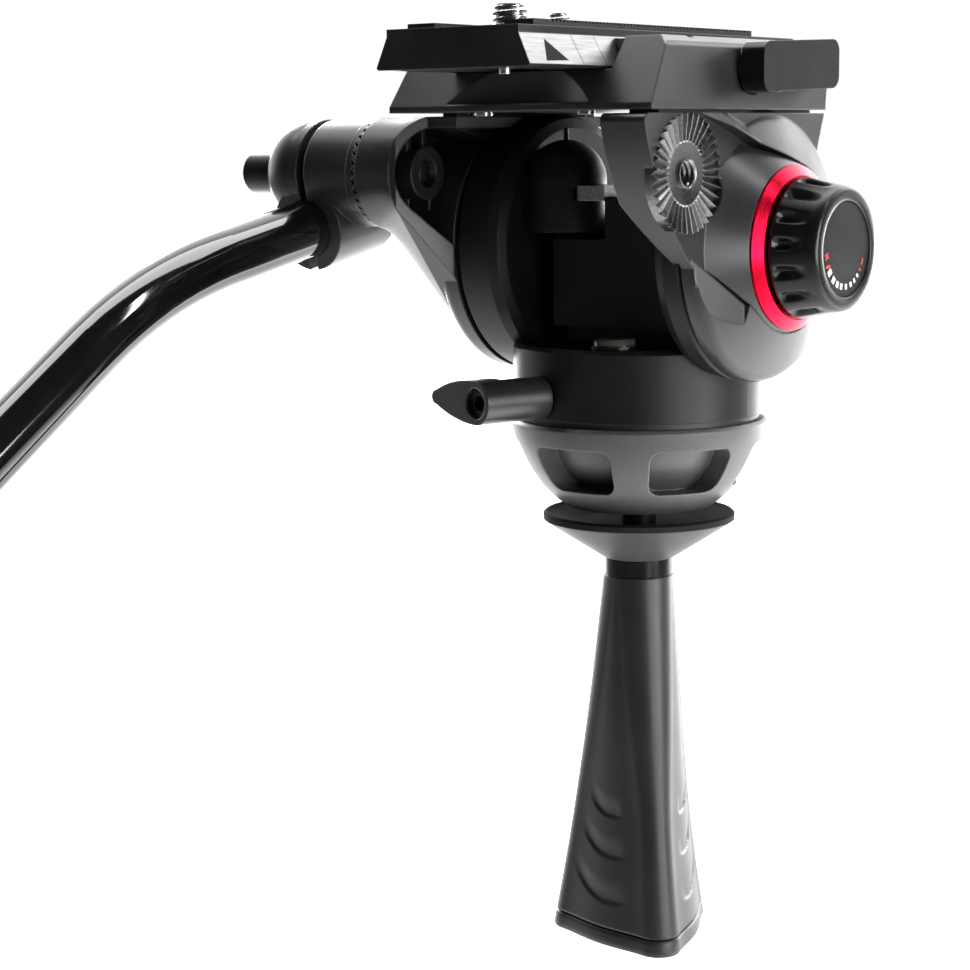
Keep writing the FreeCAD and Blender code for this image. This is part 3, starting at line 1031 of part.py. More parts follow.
def make_plate():
    half, foot = S.plate_top_half, S.plate_foot_half
    top, low = S.plate_top_z, S.plate_bottom_z
    near, far = S.plate_near, S.plate_far
    bevel = S.foot_bevel
    outline = [(-half, top), (half, top), (half, top - S.plate_lip), (foot, low + bevel),
               (foot - bevel, low), (-foot + bevel, low), (-foot, low + bevel), (-half, top - S.plate_lip)]
    points = [Vector(x, near, z) for x, z in outline]
    plate = Part.Face(Part.makePolygon(points + [points[0]])).extrude(Vector(0, far - near, 0))
    for side in (-1, 1):
        corner = Vector(side * half, far, low)
        trim = Part.makeBox(S.plate_corner * 2, S.plate_corner * 2, S.long,
                            corner - Vector(S.plate_corner, S.plate_corner, 0))
        centre = Vector(side * (half - S.plate_corner), far - S.plate_corner, low)
        plate = plate.cut(quarter(trim, centre, side))
    under = S.slot_depth
    for radius, y0, y1 in ((S.big_screw_radius, S.big_slot_near, S.big_slot_far),
                           (S.small_screw_radius, S.small_slot_near, S.small_slot_far)):
        r = radius + S.slot_room
        wide = S.slot_half
        plate = plate.cut(Part.makeBox(2 * r, y1 - y0, S.long, Vector(-r, y0, low - S.past)))
        room = Part.makeBox(2 * wide, y1 - y0 + 2 * (wide - r), under, Vector(-wide, y0 - wide + r, low))
        plate = plate.cut(room)
    for side in (-1, 1):
        plate = plate.cut(pad_box(side, top - S.pad_sink, S.long, S.thread_gap))
    node("camera_plate", shaped("CameraPlate", plate.removeSplitter()))
    pads = []
    for side in (-1, 1):
        pad = pad_box(side, top - S.pad_sink, S.pad_sink + S.pad_high, 0.0)
        ribs = []
        groove_z = top + S.pad_high - S.pad_groove_depth
        y = S.pad_near + S.pad_border
        while y < S.pad_far - S.pad_rib:
            ribs.append(Part.makeBox(2 * S.pad_outer, S.pad_groove, S.pad_high,
                                     Vector(side * S.pad_outer - S.pad_outer, y, groove_z)))
            y += S.pad_rib
        pads.append(pad.cut(Part.makeCompound(ribs)))
    node("plate_pads", shaped("PlatePads", Part.makeCompound(pads)))
    pins = [Part.makeCylinder(S.stop_pin_radius, S.stop_pin_high,
                              Vector(S.stop_pin_x, y, low - S.stop_pin_proud))
            for y in (near + S.stop_near_inset, far - S.stop_far_inset)]
    node("plate_stop_pins", shaped("PlateStopPins", Part.makeCompound(pins)))
    cut_pins(Part.makeCompound(pins))


def cut_pins(pins):
    """Seats the stop pins in holes of the plate."""
    plate = next(n for n in NODES if n.Label == "camera_plate")
    plate.Shape = plate.Shape.cut(pins)


def quarter(trim, centre, side):
    """What a rounded corner takes off: the corner's square less its quarter disc."""
    keep = Part.makeCylinder(S.plate_corner, S.long, centre)
    reach = 2 * S.plate_corner
    outer = Part.makeBox(reach, reach, S.long, centre if side > 0 else centre - Vector(reach, 0, 0))
    return outer.common(trim.fuse(outer)).cut(keep)


def pad_box(side, z, height, gap):
    x0, x1 = S.pad_inner - gap, S.pad_outer + gap
    start = x0 if side > 0 else -x1
    return Part.makeBox(x1 - x0, S.pad_far - S.pad_near + 2 * gap, height,
                        Vector(start, S.pad_near - gap, z))


def make_camera_screw(label, y, radius, pitch, top_z):
    """A slotted camera screw; its washer under the plate keeps it by its narrow neck."""
    low = S.plate_bottom_z
    head_z = low + S.screw_head_up
    neck_radius = radius - S.screw_neck_cut
    thread_z = S.plate_top_z + S.screw_thread_up
    washer_z = low + S.slot_depth - S.screw_washer_gap - S.screw_washer_thick
    ring = Part.makeCylinder(S.screw_head_radius, S.screw_washer_thick, Vector(0, 0, washer_z))
    ring = ring.cut(Part.makeCylinder(neck_radius + S.running_gap, S.screw_washer_thick,
                                      Vector(0, 0, washer_z)))
    node(label + "_washer", shaped("Washer", ring, y=y))
    head = Part.makeCylinder(S.screw_head_radius, S.screw_head_thick, Vector(0, 0, head_z))
    slot = Part.makeBox(2 * S.screw_head_radius, S.screw_slot_wide, S.screw_slot_deep,
                        Vector(-S.screw_head_radius, -S.screw_slot_wide / 2, head_z))
    neck = Part.makeCylinder(neck_radius, thread_z - head_z, Vector(0, 0, head_z))
    thread = screw_thread(radius, pitch, S.thread_depth, thread_z, top_z)
    screw = head.cut(slot).fuse(neck).fuse(thread)
    node(label, shaped("CameraScrew", screw, y=y))


# ---- plate clamp and safety catch -------------------------------------------------------------


def make_plate_clamp():
    """The gib that grips the plate's dovetail, its lever, and the lever's stem."""
    floor, top = S.channel_floor_z + S.gib_float, S.jaw_top_z - S.gib_top_gap
    slope = dovetail_slope()
    base = S.plate_foot_half + S.face_gap + slope * (S.plate_bottom_z + S.foot_bevel - floor)
    low_x, top_x = base, base - slope * (top - floor)
    jaw_slope = (S.jaw_mouth_top - S.jaw_mouth) / (S.jaw_top_z + S.past - S.channel_floor_z)
    back_x = S.jaw_mouth - S.gib_room
    back_top_x = back_x + jaw_slope * (top - floor)
    points = [Vector(low_x, S.gib_near, floor), Vector(back_x, S.gib_near, floor),
              Vector(back_top_x, S.gib_near, top), Vector(top_x, S.gib_near, top)]
    gib = Part.Face(Part.makePolygon(points + [points[0]])).extrude(Vector(0, S.gib_far - S.gib_near, 0))
    node("plate_clamp_gib", shaped("PlateClampGib", gib))
    start, thick = S.clamp_start, S.clamp_thick
    lever = disc(S.clamp_hub_radius, start - S.clamp_hub_back, thick + S.clamp_hub_back)
    reach = S.clamp_reach
    near = Vector(start, -S.clamp_hub_radius, -S.clamp_hub_radius)
    far = Vector(start, reach, -S.clamp_hub_radius + S.clamp_rise)
    high = Vector(0, 0, 2 * S.clamp_hub_radius)
    corners = [near, far, far + high, near + high]
    paddle = Part.Face(Part.makePolygon(corners + [near])).extrude(Vector(thick, 0, 0))
    paddle = rounded_edges(paddle, S.clamp_corner, along_x)
    lever = lever.fuse(paddle)
    bore_x = start - S.clamp_hub_back
    stem_end = start + thick - S.clamp_skin
    lever = lever.cut(disc(S.clamp_stem_radius + S.seat_gap, bore_x, stem_end - bore_x)).removeSplitter()
    node("plate_lock_lever", shaped("PlateLockLever", lever, y=S.clamp_y, z=S.clamp_z))
    stem = disc(S.clamp_stem_radius, S.clamp_stem_end, stem_end - S.stem_tip_gap - S.clamp_stem_end)
    node("plate_lock_stem", shaped("PlateLockStem", stem, y=S.clamp_y, z=S.clamp_z))


def make_safety_catch():
    """The push button of the plate's safety catch, and its spring, drawn as short as when pressed."""
    outside = -S.platform_half + S.catch_recess - S.catch_out
    floor = -S.platform_half + S.catch_pocket
    free = floor - outside
    length = free - S.catch_travel - S.catch_spring_length - S.face_gap
    button = disc(S.catch_radius, outside, length, S.catch_y, S.catch_z)
    node("plate_release_button", shaped("PlateReleaseButton", button))
    start = floor - S.catch_spring_length - S.seat_gap
    coil = disc(S.catch_spring_radius, start, S.catch_spring_length, S.catch_y, S.catch_z)
    inner = S.catch_spring_radius - S.catch_spring_wall
    coil = coil.cut(disc(inner, start, S.catch_spring_length, S.catch_y, S.catch_z))
    node("release_spring", shaped("ReleaseSpring", coil))


# ---- pan bar and its clamp --------------------------------------------------------------------


def bar_route():
    """The bar's centre line in its own plane: a straight, a bend and a straight."""
    y0, z0 = S.rosette_y, S.rosette_z - S.bar_drop
    dip = math.radians(S.bar_dip)
    ahead = Vector(0, -math.cos(dip), -math.sin(dip))
    down = Vector(0, math.sin(dip), -math.cos(dip))
    centre = Vector(S.bar_x, y0, z0)
    bend = math.radians(S.bar_bend)
    start, bend_start = centre - ahead * S.bar_tail, centre + ahead * S.bar_lead
    radius = S.bar_bend_radius

    def on_bend(angle):
        return bend_start + ahead * (radius * math.sin(angle)) + down * (radius * (1 - math.cos(angle)))

    leaving = ahead * math.cos(bend) + down * math.sin(bend)
    bend_end = on_bend(bend)
    return {"start": start, "bend_start": bend_start, "bend_mid": on_bend(bend / 2),
            "bend_end": bend_end, "end": bend_end + leaving * S.bar_end, "ahead": ahead,
            "leaving": leaving, "centre": centre}


def swept_bar(radius, inner=0.0):
    """The bar's tube along its route, as straight and bent cylinders."""
    route = bar_route()
    path = Part.Wire([
        Part.LineSegment(route["start"], route["bend_start"]).toShape(),
        Part.Arc(route["bend_start"], route["bend_mid"], route["bend_end"]).toShape(),
        Part.LineSegment(route["bend_end"], route["end"]).toShape(),
    ])
    shapes = []
    for r in (radius, inner):
        if r > 0:
            circle = Part.Wire(Part.makeCircle(r, route["start"], route["ahead"]))
            shapes.append(path.makePipeShell([circle], True, False))
    return shapes[0].cut(shapes[1]) if len(shapes) == 2 else shapes[0]


def make_pan_bar():
    route = bar_route()
    node("pan_bar_tube", shaped("PanBarTube", swept_bar(S.bar_radius, S.bar_radius - S.bar_wall)))
    leaving = route["leaving"]
    grip_start = route["end"] - leaving * (S.grip_length - S.grip_overrun)
    grip = Part.makeCylinder(S.grip_radius, S.grip_length, grip_start, leaving)
    grip = rounded_edges(grip, S.grip_round, lambda e: True)
    grip = grip.cut(Part.makeCylinder(S.bar_radius + S.seat_gap, S.grip_length - S.grip_overrun,
                                      grip_start, leaving))
    node("pan_bar_grip", shaped("PanBarGrip", grip))
    plug = Part.makeCylinder(S.bar_radius - S.bar_wall - S.seat_gap, S.plug_thick, route["start"],
                             route["ahead"])
    cap = Part.makeCylinder(S.bar_radius, S.plug_cap, route["start"] - route["ahead"] * S.plug_cap,
                            route["ahead"])
    node("bar_end_plug", shaped("BarEndPlug", plug.fuse(cap).removeSplitter()))


def make_bar_clamp():
    """Two clamp halves round the bar, either side of a slot, drawn together by the bolt."""
    y, z = S.rosette_y, S.rosette_z
    route = bar_route()
    slot_in = -S.bar_x - S.clamp_gap / 2
    slot_out = slot_in + S.clamp_gap
    half = S.clamp_collar_half
    collar = Part.makeCylinder(S.clamp_collar_radius, 2 * half, route["centre"] - route["ahead"] * half,
                               route["ahead"])
    bore = Part.makeCylinder(S.bar_radius + S.running_gap, 2 * S.clamp_radius + 2 * half,
                             route["centre"] - route["ahead"] * (half + S.clamp_radius), route["ahead"])
    start = S.clamp_body_start
    body = disc(S.clamp_radius, -slot_in, slot_in - start, y, z)
    dome = dome_shape(slot_out)
    bolt_hole = disc(S.clamp_bolt_radius + S.running_gap, -S.dome_end - S.past, S.long, y, z)
    wide = 2 * S.long
    inner_space = Part.makeBox(S.long, wide, wide, Vector(-slot_in, y - S.long, z - S.long))
    outer_space = Part.makeBox(S.long, wide, wide, Vector(-slot_out - S.long, y - S.long, z - S.long))
    inner = body.fuse(collar.common(inner_space)).cut(bore).cut(bolt_hole)
    outer = dome.fuse(collar.common(outer_space)).cut(bore).cut(bolt_hole)
    node("bar_clamp_body", shaped("BarClampBody", inner.removeSplitter()))
    node("bar_clamp_cap", shaped("BarClampCap", outer.removeSplitter()))
    bolt_start = -S.dome_end - S.bolt_past
    bolt = disc(S.clamp_bolt_radius, bolt_start, -S.bolt_tip - bolt_start, y, z)
    head = disc(S.bolt_head_radius, -S.bolt_head_end, S.bolt_head_end - S.dome_end - S.bolt_head_gap, y, z)
    head = rounded_edges(head, S.bolt_head_round, lambda e: e.BoundBox.XMax < -S.bolt_head_end + S.seat_gap)
    socket = Part.Face(regular(6, S.bolt_socket, -S.bolt_head_end - S.past)).extrude(
        Vector(S.bolt_socket_depth + S.past, 0, 0))
    socket.translate(Vector(0, y, z))
    node("bar_clamp_bolt", shaped("BarClampBolt", bolt.fuse(head).cut(socket).removeSplitter()))


def dome_shape(slot_out):
    """The domed outer half, turned about the rosette's axis."""
    x0, x1 = -slot_out, -S.dome_end
    points = [Vector(x0, 0, 0), Vector(x0, 0, S.clamp_radius)]
    knee = Vector(x0 - S.dome_knee, 0, S.clamp_radius)
    shoulder = Vector(x0 - S.dome_shoulder, 0, (S.clamp_radius + S.dome_end_radius) / 2 + S.dome_swell)
    end = Vector(x1, 0, S.dome_end_radius)
    edges = [Part.LineSegment(points[0], points[1]).toShape(), Part.LineSegment(points[1], knee).toShape(),
             Part.Arc(knee, shoulder, end).toShape(), Part.LineSegment(end, Vector(x1, 0, 0)).toShape(),
             Part.LineSegment(Vector(x1, 0, 0), points[0]).toShape()]
    dome = Part.Face(Part.Wire(edges)).revolve(Vector(), Vector(1, 0, 0), 360)
    dome.translate(Vector(0, S.rosette_y, S.rosette_z))
    return dome


# ---- bowl clamp handle ------------------------------------------------------------------------


def make_saucer():
    """The dished clamp disc that draws the half ball into its bowl."""
    bore, inside = "rod_radius+saucer_bore_gap", "saucer_radius-saucer_lip"
    body = turned("Saucer", "Z", [
        (bore, "saucer_rim_z-saucer_dish-saucer_hub_drop"),
        (f"{inside}-saucer_flat", "saucer_rim_z-saucer_dish"), (inside, "saucer_rim_z-saucer_edge"),
        (f"{inside}+saucer_lip_round", "saucer_rim_z"), ("saucer_radius-saucer_edge", "saucer_rim_z"),
        ("saucer_radius", "saucer_rim_z-saucer_edge"), ("saucer_radius", "saucer_rim_z-saucer_rim"),
        ("saucer_radius-saucer_lip_round", "saucer_rim_z-saucer_rim-saucer_edge"),
        ("saucer_waist_radius+saucer_flare", "saucer_waist_z+saucer_flare_rise"),
        ("saucer_waist_radius", "saucer_waist_z"),
        (bore, "saucer_waist_z"),
    ])
    node("clamp_saucer", body)


def triangle_wire(z, reach, radius):
    """A rounded triangle: three arcs round points at the given reach, and three flats."""
    corners = []
    for index in range(3):
        turn = math.radians(S.handle_turn + 120 * index)
        centre = Vector(reach * math.cos(turn), reach * math.sin(turn), z)
        arc = [centre + Vector(radius * math.cos(turn + a), radius * math.sin(turn + a), 0)
               for a in (-math.pi / 3, 0, math.pi / 3)]
        corners.append(arc)
    edges = []
    for index, (a, b, c) in enumerate(corners):
        edges.append(Part.Arc(a, b, c).toShape())
        edges.append(Part.LineSegment(c, corners[(index + 1) % 3][0]).toShape())
    return Part.Wire(edges)


def handle_sections():
    """Height, corner reach and corner radius of the handle, from round to a rounded triangle."""
    top = S.handle_top_z
    return [
        (top, S.throat_reach, S.throat_radius),
        (top - S.upper_drop, S.upper_reach, S.upper_radius),
        (top - S.middle_drop, S.middle_reach, S.middle_radius),
        (top - S.lower_drop, S.lower_reach, S.lower_radius),
        (S.handle_bottom_z, S.foot_reach, S.foot_radius),
    ]


def level_slab(low, high):
    """Everything between two heights."""
    return Part.makeBox(2 * S.long, 2 * S.long, high - low, Vector(-S.long, -S.long, low))


def make_handle():
    bore_r = S.rod_radius + S.running_gap
    top, low = S.handle_top_z, S.handle_bottom_z
    wires = [triangle_wire(*section) for section in handle_sections()]
    solid = Part.makeLoft(wires, True, False)
    cap_z = low + S.cap_height
    core_z = cap_z + S.cap_seam
    upper = solid.common(level_slab(core_z, top))
    lower = solid.common(level_slab(low, cap_z))
    inner = Part.makeCylinder(S.cap_core_radius, S.cap_seam, Vector(0, 0, cap_z))
    lower = lower.fuse(inner)
    room = Part.makeCylinder(S.insert_radius + S.seat_gap, S.insert_height,
                             Vector(0, 0, top - S.insert_height))
    well = Part.makeCylinder(bore_r + S.handle_well_room, S.handle_bore_depth,
                             Vector(0, 0, top - S.handle_bore_depth))
    upper = upper.cut(room).cut(well)
    node("handle_grip", shaped("HandleGrip", upper.removeSplitter()))
    node("handle_end_cap", shaped("HandleEndCap", lower.removeSplitter()))
    insert = Part.makeCylinder(S.insert_radius, S.insert_height, Vector(0, 0, top - S.insert_height))
    insert = insert.cut(Part.makeCylinder(bore_r, S.insert_height, Vector(0, 0, top - S.insert_height)))
    node("handle_insert", shaped("HandleInsert", insert))
    node("handle_neck_ring", tube("neck_radius", "rod_radius+saucer_bore_gap",
                                  "saucer_waist_z-neck_gap-handle_top_z", z="handle_top_z"))


def build_all():
    make_half_ball()
    make_pan_axis()
    make_pan_housing()
    make_bubble_level()
    make_tilt_works()
    make_pan_lock()
    make_pan_drag()
    make_right_arm()
    make_left_arm()
    make_drag_ring()
    make_drag_knob()
    make_tilt_lock()
    make_platform()
    make_arm_screws()
    make_plate()
    make_camera_screw("camera_screw_large", S.big_screw_y, S.big_screw_radius, S.thread_pitch,
                      S.big_screw_top_z)
    make_camera_screw("camera_screw_small", S.small_screw_y, S.small_screw_radius, S.small_pitch,
                      S.small_screw_top_z)
    make_plate_clamp()
    make_safety_catch()
    make_pan_bar()
    make_bar_clamp()
    make_saucer()
    make_handle()


def check_all():
    """Stops when any object failed, or a piece is not a valid solid."""
    for obj in doc.Objects:
        if "Invalid" in obj.State or "Error" in obj.State:
            raise RuntimeError(f"{obj.Label} failed: {obj.State}")
    for piece in NODES:
        shape = piece.Shape
        if shape.isNull() or not shape.isValid() or not shape.Solids:
            raise RuntimeError(f"{piece.Label} has no valid solid")


def write_all():
    os.makedirs("parts", exist_ok=True)
    for piece in NODES:
        piece.Shape.exportStep(f"parts/{piece.Label}.step")


build_all()
doc.recompute()
check_all()
write_all()
for piece in NODES:
    b = piece.Shape.BoundBox
    print(f"{piece.Label:24s} solids {len(piece.Shape.Solids)} volume {piece.Shape.Volume:10.1f} "
          f"x {b.XMin:7.1f} {b.XMax:7.1f} y {b.YMin:7.1f} {b.YMax:7.1f} z {b.ZMin:7.1f} {b.ZMax:7.1f}")
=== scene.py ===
import math

import bmesh
import bpy
from mathutils import Matrix, Vector
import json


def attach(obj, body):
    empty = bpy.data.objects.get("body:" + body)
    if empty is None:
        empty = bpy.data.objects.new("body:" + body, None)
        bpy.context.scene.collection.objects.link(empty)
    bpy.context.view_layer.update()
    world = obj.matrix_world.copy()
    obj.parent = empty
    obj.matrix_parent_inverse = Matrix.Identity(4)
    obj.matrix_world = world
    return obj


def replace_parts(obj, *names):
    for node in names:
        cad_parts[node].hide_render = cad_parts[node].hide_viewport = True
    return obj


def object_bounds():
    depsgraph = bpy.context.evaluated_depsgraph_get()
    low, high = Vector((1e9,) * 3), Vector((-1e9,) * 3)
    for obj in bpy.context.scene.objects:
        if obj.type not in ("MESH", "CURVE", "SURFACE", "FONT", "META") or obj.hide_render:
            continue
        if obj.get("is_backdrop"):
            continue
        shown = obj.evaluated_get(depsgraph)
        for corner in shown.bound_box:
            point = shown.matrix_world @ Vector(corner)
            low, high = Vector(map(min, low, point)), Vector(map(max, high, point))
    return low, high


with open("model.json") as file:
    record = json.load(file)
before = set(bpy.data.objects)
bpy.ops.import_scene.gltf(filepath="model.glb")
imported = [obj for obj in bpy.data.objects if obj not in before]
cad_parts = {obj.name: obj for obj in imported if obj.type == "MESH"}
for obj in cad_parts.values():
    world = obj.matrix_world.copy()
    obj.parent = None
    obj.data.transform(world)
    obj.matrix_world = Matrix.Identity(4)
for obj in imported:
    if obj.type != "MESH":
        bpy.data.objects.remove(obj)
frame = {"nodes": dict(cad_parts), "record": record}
cad_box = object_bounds()

# Points below are in millimetres in the part's own frame, and MM takes them to metres. Textures, bevels and
# bumps are in metres.
MM = 0.001
TILT_Z = 44.0
ROSETTE_Y, ROSETTE_Z = -40.0, 64.7


# ---- materials --------------------------------------------------------------------------------


class Nodes:
    """A short way to write a node tree."""

    def __init__(self, name, material=None):
        self.material = material or bpy.data.materials.new(name)
        self.material.use_nodes = True
        self.tree = self.material.node_tree
        self.shader = self.tree.nodes["Principled BSDF"]

    def add(self, kind, inputs=None, **settings):
        node = self.tree.nodes.new(kind)
        for key, value in settings.items():
            setattr(node, key, value)
        for key, value in (inputs or {}).items():
            self.feed(node, key, value)
        return node

    def feed(self, node, key, value):
        socket = node.inputs[key]
        if isinstance(value, bpy.types.NodeSocket):
            self.tree.links.new(value, socket)
        elif isinstance(value, bpy.types.Node):
            self.tree.links.new(value.outputs[0], socket)
        else:
            socket.default_value = value

    def set(self, **values):
        for key, value in values.items():
            self.feed(self.shader, key.replace("_", " "), value)

    def place(self):
        return self.add("ShaderNodeTexCoord").outputs["Object"]

    def noise(self, scale, detail=3.0, rough=0.55, vector=None):
        return self.add("ShaderNodeTexNoise", {
            "Vector": vector or self.place(), "Scale": scale, "Detail": detail, "Roughness": rough})

    def span(self, value, low, high, to_low, to_high):
        return self.add("ShaderNodeMapRange", {
            "Value": value, "From Min": low, "From Max": high, "To Min": to_low, "To Max": to_high})

    def mix(self, factor, a, b):
        node = self.add("ShaderNodeMix", data_type="RGBA")
        self.feed(node, 0, factor)
        self.feed(node, 6, a)
        self.feed(node, 7, b)
        return node.outputs[2]

    def math(self, kind, a, b=0.0, c=0.0):
        node = self.add("ShaderNodeMath", operation=kind)
        for index, value in enumerate((a, b, c)):
            self.feed(node, index, value)
        return node


def tone(grey):
    return (grey, grey, grey, 1.0)


# The cosine between the true and the softened normal at which the rubbed, painted-highlight edge starts and is
# full.
EDGE_STARTS, EDGE_FULL = 0.985, 0.86
# How much lighter than its paint an edge is: partly rubbed paint, partly a painted highlight.
WORN_LIT_GAIN, WORN_LIT_LIFT = 2.6, 0.02
# Depth of the moulded grain and of the cutting marks, in metres.
GRAIN_DEPTH, CUT_DEPTH = 0.00004, 0.00003


def surface(name, dark, light, rough, metallic=0.0, grain=2600.0, bump=0.12,
            mottle=45.0, round_edge=0.0005, wear_and_highlight=0.35, specular=0.5, spread=0.10):
    """Painted, moulded or cast surface: fine grain, slow mottling, softened edges lightened partly as rubbed
    paint and partly as a painted highlight.
    """
    n = Nodes(name)
    fine = n.noise(grain, 4.0, 0.6)
    slow = n.noise(mottle, 4.0, 0.6)
    colour = n.mix(n.span(slow, 0.35, 0.65, 0.0, 1.0), dark, light)
    soft = n.add("ShaderNodeBevel", {"Radius": round_edge}, samples=4)
    true = n.add("ShaderNodeNewGeometry").outputs["Normal"]
    turn = n.add("ShaderNodeVectorMath", {0: soft.outputs[0], 1: true}, operation="DOT_PRODUCT")
    edge = n.span(turn.outputs["Value"], EDGE_STARTS, EDGE_FULL, 0.0, wear_and_highlight)
    edge = n.math("MULTIPLY", edge, n.span(n.noise(700.0, 3.0), 0.4, 0.6, 0.35, 1.0))
    # Edge colour: rubbed paint with a painted highlight on top of it.
    worn_and_lit = tuple(min(1.0, c * WORN_LIT_GAIN + WORN_LIT_LIFT) for c in light[:3]) + (1.0,)
    colour = n.mix(edge, colour, worn_and_lit)
    relief = n.add("ShaderNodeBump", {
        "Strength": bump, "Distance": GRAIN_DEPTH, "Height": fine, "Normal": soft.outputs[0]})
    roughness = n.span(slow, 0.3, 0.7, rough - spread / 2, rough + spread / 2)
    n.set(Base_Color=colour, Roughness=roughness, Metallic=metallic, Normal=relief)
    n.shader.inputs["Specular IOR Level"].default_value = specular
    return n.material


def machined(name, dark, light, rough, stretch=(1.0, 1.0, 1.0), scale=900.0):
    """Bare or anodised metal with fine cutting marks that run where the stretch is small."""
    n = Nodes(name)
    lined = n.add("ShaderNodeMapping", {"Vector": n.place(), "Scale": stretch})
    marks = n.noise(scale, 3.0, 0.6, lined.outputs[0])
    slow = n.noise(120.0, 3.0, 0.6)
    colour = n.mix(n.span(marks, 0.3, 0.7, 0.0, 1.0), dark, light)
    soft = n.add("ShaderNodeBevel", {"Radius": 0.0002}, samples=4)
    relief = n.add("ShaderNodeBump", {
        "Strength": 0.25, "Distance": CUT_DEPTH, "Height": marks, "Normal": soft.outputs[0]})
    n.set(Base_Color=colour, Roughness=n.span(slow, 0.3, 0.7, rough * 0.75, rough * 1.3),
          Metallic=1.0, Normal=relief)
    return n.material


MATERIALS = {
    "body_paint": surface("body_paint", tone(0.016), tone(0.022), 0.33, bump=0.10, specular=0.6,
                          round_edge=0.0007, wear_and_highlight=0.6),
    # A darker, duller copy of the arms' paint for the housing in the recess between the arms: painted shade.
    "housing_painted_shade": surface("housing_painted_shade", tone(0.006), tone(0.009), 0.42, bump=0.10, specular=0.3),
    "ball_paint": surface("ball_paint", tone(0.078), tone(0.100), 0.42, grain=2000.0, bump=0.16,
                          round_edge=0.0008, wear_and_highlight=0.7),
    "steel": machined("steel", tone(0.42), tone(0.60), 0.28),
    "bare_steel": machined("bare_steel", tone(0.16), tone(0.26), 0.30, scale=1500.0),
    "black_steel": surface("black_steel", tone(0.018), tone(0.03), 0.35, metallic=0.7, mottle=160.0,
                           round_edge=0.0002),
    "bronze": machined("bronze", (0.42, 0.27, 0.12, 1), (0.62, 0.42, 0.20, 1), 0.3),
    "cast_alloy": surface("cast_alloy", tone(0.35), tone(0.48), 0.45, metallic=0.9, grain=1400.0, bump=0.3),
    "bearing_plastic": surface("bearing_plastic", tone(0.012), tone(0.02), 0.5, round_edge=0.0002),
    "black_plastic": surface("black_plastic", tone(0.005), tone(0.008), 0.24, bump=0.08, round_edge=0.0004,
                             specular=0.3),
    "knob_rubber": surface("knob_rubber", tone(0.006), tone(0.009), 0.30, bump=0.10, wear_and_highlight=0.15, specular=0.4),
    "dial_face": surface("dial_face", tone(0.005), tone(0.007), 0.24, bump=0.04, round_edge=0.0001,
                         specular=0.3),
    "plate_alloy": surface("plate_alloy", tone(0.012), tone(0.017), 0.34, round_edge=0.0004, wear_and_highlight=0.5),
    "pad_rubber": surface("pad_rubber", tone(0.010), tone(0.016), 0.62, bump=0.2, round_edge=0.0001),
    "bare_alloy": machined("bare_alloy", tone(0.62), tone(0.80), 0.25, stretch=(1.0, 0.05, 1.0)),
    "gloss_tube": surface("gloss_tube", tone(0.003), tone(0.005), 0.08, bump=0.01, wear_and_highlight=0.0,
                          round_edge=0.0001, spread=0.02, specular=1.0),
    "grip_rubber": surface("grip_rubber", tone(0.016), tone(0.024), 0.6, grain=1800.0, bump=0.3, wear_and_highlight=0.1),
    "saucer_plastic": surface("saucer_plastic", tone(0.054), tone(0.068), 0.42, grain=2200.0, specular=0.15),
    "handle_plastic": surface("handle_plastic", tone(0.014), tone(0.019), 0.42, grain=1500.0, bump=0.22,
                              mottle=30.0),
}


def make_red_ring():
    """Red anodised metal with turning marks round the tilt axis."""
    n = Nodes("red_ring")
    place = n.add("ShaderNodeSeparateXYZ", {0: n.place()})
    z = n.math("SUBTRACT", place.outputs["Z"], TILT_Z * MM)
    radius = n.math("SQRT", n.math("ADD", n.math("MULTIPLY", place.outputs["Y"], place.outputs["Y"]),
                                   n.math("MULTIPLY", z, z)))
    marks = n.add("ShaderNodeTexNoise", {"Scale": 4200.0, "Detail": 2.0, "W": radius},
                  noise_dimensions="1D")
    slow = n.noise(90.0)
    colour = n.mix(n.span(slow, 0.35, 0.65, 0.0, 1.0), (0.62, 0.004, 0.022, 1), (0.80, 0.008, 0.045, 1))
    soft = n.add("ShaderNodeBevel", {"Radius": 0.0002}, samples=4)
    relief = n.add("ShaderNodeBump", {"Strength": 0.2, "Distance": 0.00002, "Height": marks,
                                      "Normal": soft.outputs[0]})
    n.set(Base_Color=colour, Metallic=1.0, Roughness=n.span(marks, 0.2, 0.8, 0.20, 0.32), Normal=relief)
    return n.material


def make_vial_glass():
    """Clear acrylic with a faint green liquid tint."""
    n = Nodes("clear_vial")
    colour = n.mix(n.span(n.noise(300.0), 0.3, 0.7, 0.0, 1.0), (0.62, 0.66, 0.58, 1), (0.52, 0.57, 0.48, 1))
    n.set(Base_Color=colour, Roughness=n.span(n.noise(900.0), 0.3, 0.7, 0.02, 0.06))
    n.shader.inputs["Transmission Weight"].default_value = 0.85
    n.shader.inputs["IOR"].default_value = 1.45
    return n.material


# The camera plate's dovetail flank: its x at FLANK_Z, how x shrinks as z grows, and its lowest and highest z.
FLANK_X, FLANK_Z, FLANK_SLOPE = 24.9, 92.5, 0.4615
FLANK_LOW, FLANK_HIGH, FLANK_BAND = 92.55, 100.2, 0.12
# The dark corner's three points and the cutter marks' y at MARK_Z, slant and half width.
CORNER = ((-77.6, 93.3), (-67.8, 93.6), (-75.3, 98.9))
MARK_Z = 100.0
CUTTER_MARKS = ((-63.3, 0.17, 0.13), (-62.7, 0.17, 0.08), (-53.1, 0.21, 0.13), (38.0, -0.2, 0.13))


